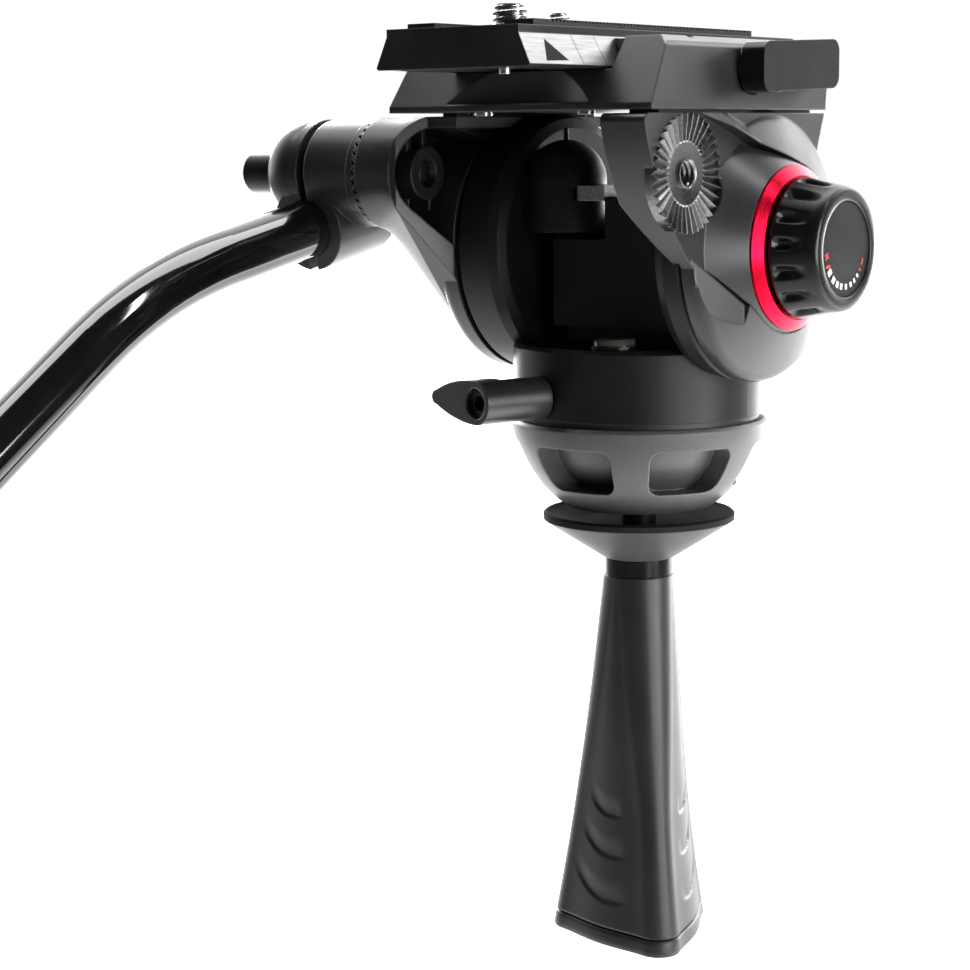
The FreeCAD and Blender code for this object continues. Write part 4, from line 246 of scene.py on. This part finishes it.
def bare_flanks(material):
    """Lays bare metal on the plate's dovetail flanks, with slanting cutter marks and a dark corner."""
    n = Nodes("plate_alloy", material)
    place = n.add("ShaderNodeSeparateXYZ", {0: n.place()})
    x = n.math("ABSOLUTE", n.math("DIVIDE", place.outputs["X"], MM))
    y, z = n.math("DIVIDE", place.outputs["Y"], MM), n.math("DIVIDE", place.outputs["Z"], MM)
    lean = n.math("SUBTRACT", FLANK_X,
                  n.math("MULTIPLY", n.math("SUBTRACT", z, FLANK_Z), FLANK_SLOPE))
    within = n.math("MULTIPLY", n.math("GREATER_THAN", z, FLANK_LOW), n.math("LESS_THAN", z, FLANK_HIGH))
    flank = n.math("MULTIPLY", n.math("COMPARE", x, lean, FLANK_BAND), within)

    def beyond(start, end):
        """1 on the left of the line from the first point to the second."""
        (y0, z0), (y1, z1) = start, end
        cross = n.math("SUBTRACT", n.math("MULTIPLY", n.math("SUBTRACT", z, z0), y1 - y0),
                       n.math("MULTIPLY", n.math("SUBTRACT", y, y0), z1 - z0))
        return n.math("GREATER_THAN", cross, 0.0)

    def mark(top_y, slant, width):
        line = n.math("ADD", y, n.math("MULTIPLY", n.math("SUBTRACT", z, MARK_Z), slant))
        return n.math("COMPARE", line, top_y, width)

    first, second, third = CORNER
    corner = n.math("MULTIPLY", beyond(first, second),
                    n.math("MULTIPLY", beyond(second, third), beyond(third, first)))
    marks = mark(*CUTTER_MARKS[0])
    for values in CUTTER_MARKS[1:]:
        marks = n.math("MAXIMUM", marks, mark(*values))
    brushed = n.add("ShaderNodeMapping", {"Vector": n.place(), "Scale": (1.0, 0.06, 1.0)})
    lines = n.noise(1500.0, 3.0, 0.6, brushed.outputs[0])
    bare = n.mix(n.span(lines, 0.3, 0.7, 0.0, 1.0), tone(0.22), tone(0.34))
    bare = n.mix(n.math("MULTIPLY", marks, 0.85), bare, tone(0.03))
    bright = n.math("MULTIPLY", flank, n.math("SUBTRACT", 1.0, corner))
    shader = n.shader
    paint = shader.inputs["Base Color"].links[0].from_socket
    rough = shader.inputs["Roughness"].links[0].from_socket
    paint = n.mix(n.math("MULTIPLY", flank, corner), paint, tone(0.002))
    n.set(Base_Color=n.mix(bright, paint, bare), Metallic=bright,
          Roughness=n.add("ShaderNodeMix", {
              0: bright, 2: n.math("MAXIMUM", rough, n.math("MULTIPLY", corner, 0.9)), 3: 0.40}).outputs[0])
    return material


def painted_shade_dish(material):
    """Faces that look up, shaded by the ball above, are painted darker and duller than the moulded cone below
    them: painted shade.
    """
    n = Nodes("saucer_plastic", material)
    shader = n.shader
    paint = shader.inputs["Base Color"].links[0].from_socket
    rough = shader.inputs["Roughness"].links[0].from_socket
    facing = n.add("ShaderNodeSeparateXYZ", {0: n.add("ShaderNodeNewGeometry").outputs["Normal"]})
    shaded_upward = n.span(facing.outputs["Z"], -0.35, 0.1, 0.0, 1.0)
    # Painted shade: the upward faces under the ball are darkened and dulled.
    n.set(Base_Color=n.mix(shaded_upward, paint, tone(0.004)),
          Roughness=n.add("ShaderNodeMix", {0: shaded_upward, 2: rough, 3: 0.95}).outputs[0])
    return material


MATERIALS["saucer_plastic"] = painted_shade_dish(MATERIALS["saucer_plastic"])
MATERIALS["plate_alloy"] = bare_flanks(MATERIALS["plate_alloy"])
MATERIALS["red_ring"] = make_red_ring()
MATERIALS["clear_vial"] = make_vial_glass()

# The fixed housing between the arms gets a deeper, duller black than the arms: painted shade for the recess it
# sits in.
PAINTED_SHADE_COPIES = {"pan_housing": "housing_painted_shade"}

for part in frame["record"]["subparts"]:
    shown = frame["nodes"][part["node"]]
    shown.data.materials.clear()
    shown.data.materials.append(MATERIALS[PAINTED_SHADE_COPIES.get(part["node"], part["material_slot"])])


# ---- mesh helpers -----------------------------------------------------------------------------


def piece(name, verts, faces, body, slot, material=None, crease=35.0):
    """A mesh from points in millimetres that rides on a body; edges sharper than crease stay sharp."""
    mesh = bpy.data.meshes.new(name)
    mesh.from_pydata([tuple(c * MM for c in v) for v in verts], [], faces)
    tidy = bmesh.new()
    tidy.from_mesh(mesh)
    bmesh.ops.remove_doubles(tidy, verts=tidy.verts, dist=1e-7)
    bmesh.ops.recalc_face_normals(tidy, faces=tidy.faces)
    tidy.to_mesh(mesh)
    tidy.free()
    for face in mesh.polygons:
        face.use_smooth = True
    mesh.set_sharp_from_angle(angle=math.radians(crease))
    obj = bpy.data.objects.new(name, mesh)
    bpy.context.scene.collection.objects.link(obj)
    obj.data.materials.append(material or MATERIALS[slot])
    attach(obj, body)
    return obj


def circle(count):
    """Even angles round a full turn."""
    return [2 * math.pi * k / count for k in range(count)]


def grid(rows, wrap_rows=False):
    """Vertices and quads of a grid of closed rings; wrap_rows joins the last ring to the first."""
    count, width = len(rows), len(rows[0])
    verts = [p for row in rows for p in row]
    faces = []
    for i in range(count if wrap_rows else count - 1):
        for j in range(width):
            k, m = (i + 1) % count, (j + 1) % width
            faces.append((i * width + j, i * width + m, k * width + m, k * width + j))
    return verts, faces


def capped(verts, faces, width, first=True):
    """Closes the last ring of a grid with one face, and the first unless it stays open."""
    if first:
        faces.append(tuple(range(width))[::-1])
    start = len(verts) - width
    faces.append(tuple(range(start, start + width)))
    return verts, faces


def around_x(x, radius, angle, y=0.0, z=TILT_Z):
    """A point round an axis along x: the tilt axis, or the one through y and z."""
    return (x, y + radius * math.sin(angle), z + radius * math.cos(angle))


def smooth(a, b, x):
    """0 at a, 1 at b, with a soft start and end."""
    t = min(1.0, max(0.0, (x - a) / (b - a)))
    return t * t * (3 - 2 * t)


# ---- tilt drag knob ---------------------------------------------------------------------------


def drag_knob():
    """The knob's shell: a taper with soft edges and fifteen finger flutes that run out towards its face."""
    profile = [(53.6, 4.3), (53.6, 12.0), (53.6, 17.9), (53.75, 18.6), (54.2, 19.05), (54.8, 19.2)]
    profile += [(54.8 + 0.42 * k, 19.2 - 0.086 * k) for k in range(1, 25)]
    profile += [(65.3, 17.0), (66.0, 16.8), (66.6, 16.5), (67.0, 16.05), (67.2, 15.4), (67.2, 13.4),
                (67.1, 13.05), (66.8, 12.9), (65.3, 12.85), (65.2, 12.0), (65.2, 4.3)]
    count, flutes, half_flute, flute_depth, rim = 300, 15, 0.27, 2.05, 16.0
    rows = []
    for x, radius in profile:
        row = []
        for angle in circle(count):
            phase = (angle * flutes / (2 * math.pi)) % 1.0 - 0.5
            across = max(0.0, 1 - (phase / half_flute) ** 2)
            along = smooth(54.5, 56.2, x) * (1 - smooth(57.0, 64.9, x))
            dent = flute_depth * across ** 1.3 * along if radius > rim else 0.0
            row.append(around_x(x, radius - dent, angle))
        rows.append(row)
    verts, faces = grid(rows, wrap_rows=True)
    return piece("knob_shell", verts, faces, "tilt_drag", "knob_rubber", crease=50.0)


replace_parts(drag_knob(), "tilt_drag_knob")


def dial_marks():
    """Plain marks round the lower half of the dial: eight ticks that shrink, a plus and a minus."""
    white = Nodes("dial_white")
    shade = white.mix(white.noise(900.0), (0.78, 0.78, 0.78, 1), (0.86, 0.86, 0.86, 1))
    white.set(Base_Color=shade, Roughness=0.5)
    red = Nodes("dial_red")
    shade = red.mix(red.noise(900.0), (0.68, 0.02, 0.015, 1), (0.80, 0.03, 0.02, 1))
    red.set(Base_Color=shade, Roughness=0.45)
    face_x, lift, ring = 66.71, 0.05, 10.45

    def bar(turn, radius, half_width, half_height, lean=0.0):
        """A small raised bar; turn is measured from straight down towards the operator."""
        a = math.radians(turn)
        centre = Vector((0, -radius * math.sin(a), -radius * math.cos(a)))
        out = Vector((0, -math.sin(a + lean), -math.cos(a + lean)))
        side = Vector((0, -out.z, out.y))
        corners = [centre + side * (sx * half_width) + out * (sy * half_height)
                   for sx, sy in ((-1, -1), (1, -1), (1, 1), (-1, 1))]
        verts = [(face_x + lift * k, c.y, c.z + TILT_Z) for k in (0, 1) for c in corners]
        faces = [(4, 5, 6, 7), (3, 2, 1, 0), (0, 1, 5, 4), (1, 2, 6, 5), (2, 3, 7, 6), (3, 0, 4, 7)]
        return verts, faces

    def joined(parts):
        verts, faces = [], []
        for v, f in parts:
            base = len(verts)
            verts += v
            faces += [tuple(i + base for i in face) for face in f]
        return verts, faces

    turns = (55.8, 39.9, 26.6, 13.7, -1.2, -16.4, -28.6, -41.3)
    ticks = [bar(turn, ring - 0.1 * k, 0.82 - 0.06 * k, 1.0 - 0.065 * k) for k, turn in enumerate(turns)]
    marks = [bar(65.9, ring, 0.34, 1.1, 0.25), bar(-53.0, ring - 0.8, 0.3, 0.45),
             bar(81.7, ring, 1.05, 0.3, 0.6), bar(81.7, ring, 0.3, 1.05, 0.6),
             bar(-67.4, ring - 0.8, 0.26, 0.95, math.pi / 2)]
    piece("dial_ticks", *joined(ticks), "tilt_drag", "dial_face", white.material)
    piece("dial_plus_minus", *joined(marks), "tilt_drag", "dial_face", red.material)


dial_marks()


# ---- threads ----------------------------------------------------------------------------------


ROUND = 48
INCH = 25.4


def thread_rows(radius, depth, pitch, start, end, place, inside=False):
    """Rings of a helical thread; place(along, radius, angle) gives a point."""
    rows = []
    steps = int((end - start) / pitch * 10)
    for i in range(steps + 1):
        along = start + (end - start) * i / steps
        row = []
        for k, angle in enumerate(circle(ROUND)):
            phase = (along / pitch - k / ROUND) % 1.0
            ridge = 1 - abs(2 * phase - 1)
            ridge = min(1.0, max(0.0, ridge * 1.35 - 0.15))
            run_out = smooth(end, end - 0.9 * pitch, along)
            r = radius + depth * ridge if inside else radius - depth * (1 - ridge * run_out)
            row.append(place(along, r, angle))
        rows.append(row)
    return rows


def camera_screw(name, node, body, y, radius, pitch, top):
    """A camera screw: head under the plate, plain neck and a cut thread above the plate."""
    def place(z, r, angle):
        return (r * math.cos(angle), y + r * math.sin(angle), z)

    low, high, neck, head, soft, waist = 92.4, 96.0, 102.6, 8.35, 0.4, radius - 0.9
    plain = [(low, 0.9), (low, 7.9), (low + soft, head), (high - soft, head), (high, 7.9), (high, waist),
             (neck, waist)]
    rows = [[place(z, r, angle) for angle in circle(ROUND)] for z, r in plain]
    rows += thread_rows(radius, 0.75, pitch, neck, top - 0.3, place)
    rows += [[place(top, r, angle) for angle in circle(ROUND)] for r in (radius - 1.15, 0.3)]
    verts, faces = grid(rows)
    capped(verts, faces, ROUND)
    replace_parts(piece(name, verts, faces, body, "bare_steel", MATERIALS["steel"], 40.0), node)


camera_screw("large_screw_thread", "camera_screw_large", "large_screw", -60.3, 4.7, INCH / 16, 109.2)
camera_screw("small_screw_thread", "camera_screw_small", "small_screw", -38.5, 3.15, INCH / 20, 107.6)


def accessory_insert():
    """The threaded steel lining of the right rosette's hole."""
    def place(x, r, angle):
        return around_x(x, r, angle, ROSETTE_Y, ROSETTE_Z)

    rows = thread_rows(3.35, 0.65, INCH / 16, 29.5, 42.2, place, inside=True)
    rows += [[place(x, 4.08, angle) for angle in circle(ROUND)] for x in (42.3, 29.5)]
    verts, faces = grid(rows, wrap_rows=True)
    piece("accessory_thread_lining", verts, faces, "tilt_unit", "bare_steel", crease=40.0)


accessory_insert()


# ---- bowl clamp handle ------------------------------------------------------------------------

HANDLE_TOP, HANDLE_LOW, HANDLE_TURN = -51.6, -160.5, math.radians(-39)
# How far the middle of each flat stands out at the foot.
FOOT_SWELL = 1.5
# Share of the length from the top, reach of the corners' centres and their radius.
SECTIONS = ((0.0, 0.6, 9.7), (0.36, 7.0, 7.9), (0.64, 13.6, 5.7), (0.82, 16.6, 5.9), (1.0, 19.2, 6.9))
# Lowest point, bend radius and half width of each thumb mark.
ARCS = ((-122.3, 10.5, 9.6), (-134.3, 14.5, 13.0), (-147.6, 18.5, 16.5))


def along_sections(share):
    """Corner reach and radius at a share of the handle's length, on a smooth curve."""
    for i in range(len(SECTIONS) - 1):
        if share <= SECTIONS[i + 1][0] or i == len(SECTIONS) - 2:
            break
    s0, s1 = SECTIONS[i], SECTIONS[i + 1]
    before = SECTIONS[max(0, i - 1)]
    after = SECTIONS[min(len(SECTIONS) - 1, i + 2)]
    width = s1[0] - s0[0]
    t = (share - s0[0]) / width
    values = []
    for k in (1, 2):
        m0 = (s1[k] - before[k]) / max(1e-6, s1[0] - before[0]) * width
        m1 = (after[k] - s0[k]) / max(1e-6, after[0] - s0[0]) * width
        values.append((2 * t ** 3 - 3 * t ** 2 + 1) * s0[k] + (t ** 3 - 2 * t ** 2 + t) * m0
                      + (-2 * t ** 3 + 3 * t ** 2) * s1[k] + (t ** 3 - t ** 2) * m1)
    return values


def thumb_mark(arc, across, z):
    """Depth of a thumb mark: sharp at its lower line, fading upwards and at both ends."""
    low, bend, wide = arc
    v = across + 0.16 * wide
    if abs(v) >= wide:
        return 0.0
    above = z - (low + bend - math.sqrt(bend * bend - v * v))
    fade = (1 - smooth(0.55 * wide, wide, v)) * (1 - smooth(0.1 * wide, 0.45 * wide, -v))
    return 0.5 * fade * smooth(-0.3, 0.05, above) * (1 - smooth(0.2, 6.5, above))


def handle_ring(z, inset=0.0, marks=True):
    """A ring round the handle: three rounded corners and three swelling flats, two with thumb marks."""
    share = (HANDLE_TOP - z) / (HANDLE_TOP - HANDLE_LOW)
    reach, radius = along_sections(share)
    radius -= inset
    swell = FOOT_SWELL * share
    corner_steps, flat_steps = 16, 44
    ring = []
    for third in range(3):
        turn = HANDLE_TURN + third * 2 * math.pi / 3
        cx, cy = reach * math.cos(turn), reach * math.sin(turn)
        for k in range(corner_steps):
            a = turn - math.pi / 3 + 2 * math.pi / 3 * k / corner_steps
            ring.append((cx + radius * math.cos(a), cy + radius * math.sin(a), z))
        normal = turn + math.pi / 3
        half = reach * math.sqrt(3) / 2
        base = reach / 2 + radius
        lean = (1, -1, -1)[third]
        for k in range(flat_steps):
            w = -half + 2 * half * k / flat_steps
            dent = 0.0
            if marks and third != 1:
                for arc in ARCS:
                    dent += thumb_mark(arc, w * lean, z)
            r = base - dent + swell * (1 - (w / half) ** 2) ** 2
            ring.append((r * math.cos(normal) - w * math.sin(normal),
                         r * math.sin(normal) + w * math.cos(normal), z))
    return ring


def handle():
    """The grip down to its seam, and the cap below it."""
    seam, fine_step, coarse_step = HANDLE_LOW + 5.4, 0.42, 1.6
    heights = [HANDLE_TOP - 0.15]
    z = HANDLE_TOP - 0.8
    while z > seam + 0.9:
        heights.append(z)
        z -= fine_step if -150 < z < -112 else coarse_step
    heights += [seam + 0.8, seam + 0.25]
    rows = [handle_ring(HANDLE_TOP - 0.02, 4.2, False), handle_ring(HANDLE_TOP - 0.02, 0.45, False)]
    rows += [handle_ring(z) for z in heights]
    rows.append(handle_ring(seam, 0.35))
    rows.append(handle_ring(seam, 6.0))
    verts, faces = grid(rows)
    capped(verts, faces, len(rows[0]), first=False)
    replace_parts(piece("handle_shell", verts, faces, "bowl_handle", "handle_plastic", crease=60.0),
                "handle_grip")
    cap_top = seam - 0.45
    rows = [handle_ring(cap_top, 6.0, False), handle_ring(cap_top, 0.35, False),
            handle_ring(cap_top - 0.3, 0.02, False)]
    rows += [handle_ring(cap_top - 0.3 - 0.9 * k, 0.0, False) for k in range(1, 4)]
    rows += [handle_ring(HANDLE_LOW + 0.9, 0.1, False), handle_ring(HANDLE_LOW + 0.3, 0.45, False),
             handle_ring(HANDLE_LOW + 0.02, 1.3, False)]
    verts, faces = grid(rows)
    capped(verts, faces, len(rows[0]))
    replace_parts(piece("handle_cap_shell", verts, faces, "bowl_handle", "handle_plastic", crease=60.0),
                "handle_end_cap")


handle()


# ---- rosettes that mesh at the pan bar clamp --------------------------------------------------


# Place and height of a tooth's corners as shares of its pitch and depth.
TOOTH = ((0.0, 0.0), (0.05, 0.0), (0.48, 1.0), (0.54, 1.0))
TEETH, TEETH_FROM, SHOULDER, INNER_HEIGHT = 36, 8.6, 0.75, 0.45


def toothed_ring(name, body, base_x, face_x, outer, depth, slot, look=None, shift=0.0, node=None, bore=4.15):
    """A ring about the rosette axis with flat-sided radial teeth at face_x and its back at base_x."""
    out = 1 if face_x > base_x else -1
    rows = []
    for kind, r in (("back", bore), ("flat", bore), ("flat", TEETH_FROM - 0.5), ("teeth", TEETH_FROM),
                    ("teeth", outer), ("back", outer)):
        row = []
        for k in range(TEETH):
            for phase, high in TOOTH:
                angle = 2 * math.pi * (k + phase + shift) / TEETH
                reach = INNER_HEIGHT + (1 - INNER_HEIGHT) * (r - TEETH_FROM) / (outer - TEETH_FROM)
                if kind == "back":
                    x = base_x
                elif kind == "flat":
                    x = face_x - out * depth * SHOULDER
                else:
                    x = face_x - out * depth * (1 - high * reach)
                row.append(around_x(x, r, angle, ROSETTE_Y, ROSETTE_Z))
        rows.append(row)
    verts, faces = grid(rows, wrap_rows=True)
    ring = piece(name, verts, faces, body, slot, look, crease=12.0)
    if node:
        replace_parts(ring, node)


toothed_ring("right_rosette_teeth", "tilt_unit", 39.0, 43.0, 15.6, 1.9, "bare_steel", node="right_rosette",
             bore=4.1)
toothed_ring("left_rosette_teeth", "tilt_unit", -58.62, -60.45, 15.55, 1.5, "black_steel",
             MATERIALS["body_paint"], node="left_rosette")
toothed_ring("clamp_rosette_teeth", "bar_clamp", -62.68, -59.2, 15.45, 1.5, "body_paint", shift=0.22)


def bolt_tip():
    """The threaded tip of the clamp's bolt, seen in the hollow of the left arm's boss."""
    base_x = -49.0
    profile = ((0.0, 3.9), (0.35, 3.9), (0.7, 3.3), (1.05, 3.3), (1.3, 3.6), (1.6, 2.6), (1.9, 2.9),
               (2.2, 1.9), (2.5, 2.1), (2.7, 1.1), (2.75, 0.2))
    rows = [[around_x(base_x + along, radius, angle, ROSETTE_Y, ROSETTE_Z) for angle in circle(ROUND)]
            for along, radius in profile]
    verts, faces = grid(rows)
    capped(verts, faces, ROUND)
    piece("clamp_bolt_tip", verts, faces, "bar_clamp", "black_steel", MATERIALS["bare_steel"], 20.0)


bolt_tip()


# ---- bubble level -----------------------------------------------------------------------------


def bubble_level():
    """The domed glass and the bubble in it."""
    x, y = 9.0, -25.5

    def lathe(profile, count=64, cx=x, cy=y):
        rows = [[(cx + r * math.cos(angle), cy + r * math.sin(angle), z) for angle in circle(count)]
                for r, z in profile]
        verts, faces = grid(rows)
        return capped(verts, faces, count)

    dome = [(5.95, 14.25), (5.95, 18.6), (5.8, 19.05), (5.3, 19.35), (4.0, 19.5), (2.0, 19.57), (0.2, 19.58)]
    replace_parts(piece("level_glass", *lathe(dome), "pan_unit", "clear_vial", crease=60.0), "level_vial")
    air = [(0.2, 17.6), (1.2, 17.75), (1.9, 18.2), (1.9, 18.5), (1.2, 18.95), (0.2, 19.05)]
    bubble = Nodes("level_air")
    tint = bubble.mix(bubble.noise(400.0), (0.90, 0.93, 0.86, 1), (0.84, 0.88, 0.80, 1))
    bubble.set(Base_Color=tint, Roughness=0.05)
    bubble.shader.inputs["Transmission Weight"].default_value = 1.0
    bubble.shader.inputs["IOR"].default_value = 1.0
    piece("level_bubble", *lathe(air, 32, x + 0.4, y - 0.2), "pan_unit", "clear_vial", bubble.material, 60.0)


bubble_level()


# ---- pan bar grip -----------------------------------------------------------------------------


def bar_grip():
    """The moulded grip on the bar's far end, with a flange, a waist and rings of ribs."""
    dip, bend, bend_radius = math.radians(11.6), math.radians(22.6), 140.0
    before_bend, bar_end, grip_cover = 48.0, 215.0, 111.0
    centre = Vector((-80.0, ROSETTE_Y, ROSETTE_Z - 13.2))
    ahead = Vector((0, -math.cos(dip), -math.sin(dip)))
    down = Vector((0, math.sin(dip), -math.cos(dip)))
    bend_end = centre + ahead * (before_bend + bend_radius * math.sin(bend))
    bend_end += down * (bend_radius * (1 - math.cos(bend)))
    leaving = ahead * math.cos(bend) + down * math.sin(bend)
    start = bend_end + leaving * (bar_end - grip_cover)
    side, rise = Vector((1, 0, 0)), leaving.cross(Vector((1, 0, 0)))
    profile = [(0.0, 8.3), (0.0, 11.6), (0.5, 12.6), (1.6, 13.2), (3.5, 13.3), (5.0, 12.6), (7.0, 11.9)]
    z, rib_height, rib_pitch = 8.0, 0.55, 4.0
    while z < 104.0:
        body = 11.7 + 1.5 * math.sin(math.pi * (z - 8.0) / 96.0) ** 1.4
        rib = rib_height * max(0.0, math.sin(2 * math.pi * z / rib_pitch)) if 14.0 < z < 98.0 else 0.0
        profile.append((z, body - 0.35 + rib))
        z += 0.5
    profile += [(105.5, 12.0), (108.0, 12.7), (111.0, 13.3), (113.2, 13.2), (114.4, 12.3), (114.95, 10.6),
                (115.0, 6.0), (115.0, 0.3)]
    count = 72
    rows = []
    for along, radius in profile:
        base = start + leaving * along
        rows.append([tuple(base + (side * math.cos(angle) + rise * math.sin(angle)) * radius)
                     for angle in circle(count)])
    verts, faces = grid(rows)
    capped(verts, faces, count, first=False)
    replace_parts(piece("bar_grip_shell", verts, faces, "pan_bar", "grip_rubber", crease=60.0), "pan_bar_grip")


bar_grip()


# ---- floor, light and camera ------------------------------------------------------------------


# Below the reach of the bar and its grip when the head tilts or the bar turns straight down.
FLOOR_Z, FLOOR_REACH = -345.0, 9000.0
# The floor's light was laid out on a nearer floor; this spreads it to the same directions.
FLOOR_SPREAD = 1.85
# The floor never looks darker to the camera than this.
FLOOR_SEEN = 0.84


def floor():
    """A pale floor that glows behind and beside the head and gives dark reflections in front of it."""
    low, reach = FLOOR_Z, FLOOR_REACH
    verts = [(-reach, -reach, low), (reach, -reach, low), (reach, reach, low), (-reach, reach, low)]
    mesh = bpy.data.meshes.new("floor")
    mesh.from_pydata([tuple(c * MM for c in v) for v in verts], [], [(0, 1, 2, 3)])
    obj = bpy.data.objects.new("floor", mesh)
    bpy.context.scene.collection.objects.link(obj)
    n = Nodes("floor_white")
    shrunk = n.add("ShaderNodeMapping", {"Vector": n.place(), "Scale": (1 / FLOOR_SPREAD,) * 3})
    place = n.add("ShaderNodeSeparateXYZ", {0: shrunk.outputs[0]})
    # Metres over the floor: behind the head, far behind to its left, and in from the camera's side.
    behind = n.math("SUBTRACT", n.math("MULTIPLY", place.outputs["Y"], 0.95),
                    n.math("MULTIPLY", place.outputs["X"], 0.25))
    away = n.math("SUBTRACT", place.outputs["Y"], place.outputs["X"])
    inward = n.math("ADD", n.math("MULTIPLY", n.math("SUBTRACT", place.outputs["X"], 0.364), 0.64),
                    n.math("MULTIPLY", n.math("ADD", place.outputs["Y"], 0.54), 0.76))
    # Bright behind the head and brighter far behind, with a patch at the right that fades out again.
    glow = n.math("ADD", n.span(behind, -0.26, -0.07, 0.08, 1.0), n.span(away, 0.3, 0.6, 0.0, 2.2))
    right = n.math("MULTIPLY", n.span(place.outputs["X"], 0.03, 0.13, 0.0, 1.8),
                   n.math("MULTIPLY", n.span(place.outputs["X"], 0.3, 0.6, 1.0, 0.0),
                          n.span(behind, -0.1, 0.0, 0.0, 1.0)))
    # Dark at the far right, where the faces on the head's right side find their reflection.
    far_right = n.span(place.outputs["X"], 0.25, 0.6, 1.0, 0.1)
    glow = n.math("MULTIPLY", n.math("ADD", glow, right), n.span(inward, -0.35, -0.05, 0.06, 1.0))
    glow = n.math("MULTIPLY", glow, far_right)
    plain = n.math("MULTIPLY", n.add("ShaderNodeLightPath").outputs["Is Camera Ray"], FLOOR_SEEN)
    glow = n.math("MAXIMUM", glow, plain)
    shade = n.mix(far_right, tone(0.12), n.mix(n.noise(3.0), tone(0.50), tone(0.53)))
    n.set(Base_Color=shade, Roughness=0.9, Emission_Color=tone(1.0), Emission_Strength=glow)
    n.shader.inputs["Specular IOR Level"].default_value = 0.0
    obj.data.materials.append(n.material)
    obj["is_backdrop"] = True


def soft_light(name, at, aim, width, height, power):
    data = bpy.data.lights.new(name, "AREA")
    data.shape = "RECTANGLE"
    data.size, data.size_y = width * MM, height * MM
    data.energy = power
    obj = bpy.data.objects.new(name, data)
    bpy.context.scene.collection.objects.link(obj)
    spot, target = Vector(at) * MM, Vector(aim) * MM
    obj.location = spot
    obj.rotation_euler = (target - spot).to_track_quat("-Z", "Y").to_euler()


def studio():
    """A world that is bright behind the head, stronger in reflections and white to the camera, and lights."""
    world = bpy.data.worlds.new("studio")
    bpy.context.scene.world = world
    world.use_nodes = True
    tree = world.node_tree
    background = tree.nodes["Background"]
    place = tree.nodes.new("ShaderNodeTexCoord")
    facing = tree.nodes.new("ShaderNodeVectorMath")
    facing.operation = "DOT_PRODUCT"
    facing.inputs[1].default_value = (-0.614, 0.789, 0.0)
    tree.links.new(place.outputs["Generated"], facing.inputs[0])
    ramp = tree.nodes.new("ShaderNodeMapRange")
    ramp.interpolation_type = "SMOOTHSTEP"
    ramp.inputs["From Min"].default_value = 0.15
    ramp.inputs["From Max"].default_value = 0.85
    ramp.inputs["To Min"].default_value = 0.015
    ramp.inputs["To Max"].default_value = 1.15
    tree.links.new(facing.outputs["Value"], ramp.inputs["Value"])
    seen = tree.nodes.new("ShaderNodeLightPath")
    shine = tree.nodes.new("ShaderNodeMath")
    shine.operation = "MULTIPLY_ADD"
    shine.inputs[1].default_value = 1.6
    shine.inputs[2].default_value = 1.0
    tree.links.new(seen.outputs["Is Glossy Ray"], shine.inputs[0])
    lit = tree.nodes.new("ShaderNodeMath")
    lit.operation = "MULTIPLY"
    tree.links.new(ramp.outputs[0], lit.inputs[0])
    tree.links.new(shine.outputs[0], lit.inputs[1])
    choose = tree.nodes.new("ShaderNodeMix")
    tree.links.new(seen.outputs["Is Camera Ray"], choose.inputs[0])
    tree.links.new(lit.outputs[0], choose.inputs[2])
    choose.inputs[3].default_value = 1.05
    tree.links.new(choose.outputs[0], background.inputs["Strength"])
    background.inputs["Color"].default_value = (1, 1, 1, 1)
    soft_light("high_back_box", (300, 800, 560), (0, 0, 60), 900, 500, 4.0)
    soft_light("overhead_box", (-150, 90, 800), (-120, 60, 0), 1100, 380, 7.0)
    soft_light("overhead_strip", (590, 150, 800), (-90, -100, 0), 60, 420, 1.6)
    soft_light("right_side_box", (920, 60, 100), (0, 0, 0), 300, 500, 7.0)
    soft_light("front_right_box", (850, -320, -20), (60, -40, 30), 200, 300, 2.2)
    soft_light("low_back_box", (80, 850, -60), (10, 0, -110), 400, 200, 3.5)
    soft_light("left_side_box", (-750, 430, 200), (-60, -40, 0), 200, 700, 8.0)


# The photo's camera as solved: angles, the part's place before it, focal length and frame in pixels.
AZIMUTH, PITCH, ROLL = 37.9005, 8.7385, -0.5446
PLACE_RIGHT, PLACE_UP, PLACE_BACK = 44.480, 25.455, -653.608
FOCAL_PIXELS, FRAME_PIXELS, SENSOR = 2262.09, 970, 36.0


def camera():
    """The camera that took the photo."""
    azimuth, pitch, roll = (math.radians(v) for v in (AZIMUTH, PITCH, ROLL))
    back = Vector((math.sin(azimuth) * math.cos(pitch), -math.cos(azimuth) * math.cos(pitch),
                   math.sin(pitch)))
    level = Vector((math.cos(azimuth), math.sin(azimuth), 0))
    upright = back.cross(level)
    right = level * math.cos(roll) + upright * math.sin(roll)
    up = upright * math.cos(roll) - level * math.sin(roll)
    centre = -(right * PLACE_RIGHT + up * PLACE_UP + back * PLACE_BACK) * MM
    data = bpy.data.cameras.new("photo_camera")
    data.sensor_width = SENSOR
    data.lens = FOCAL_PIXELS / FRAME_PIXELS * SENSOR
    data.clip_start, data.clip_end = 0.02, 60.0
    obj = bpy.data.objects.new("photo_camera", data)
    bpy.context.scene.collection.objects.link(obj)
    turn = Matrix((right, up, back)).transposed().to_4x4()
    obj.matrix_world = Matrix.Translation(centre) @ turn
    bpy.context.scene.camera = obj


floor()
studio()
camera()
bpy.context.scene.view_settings.view_transform = "Standard"

boxes = [[list(corner) for corner in box] for box in (cad_box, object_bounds())]
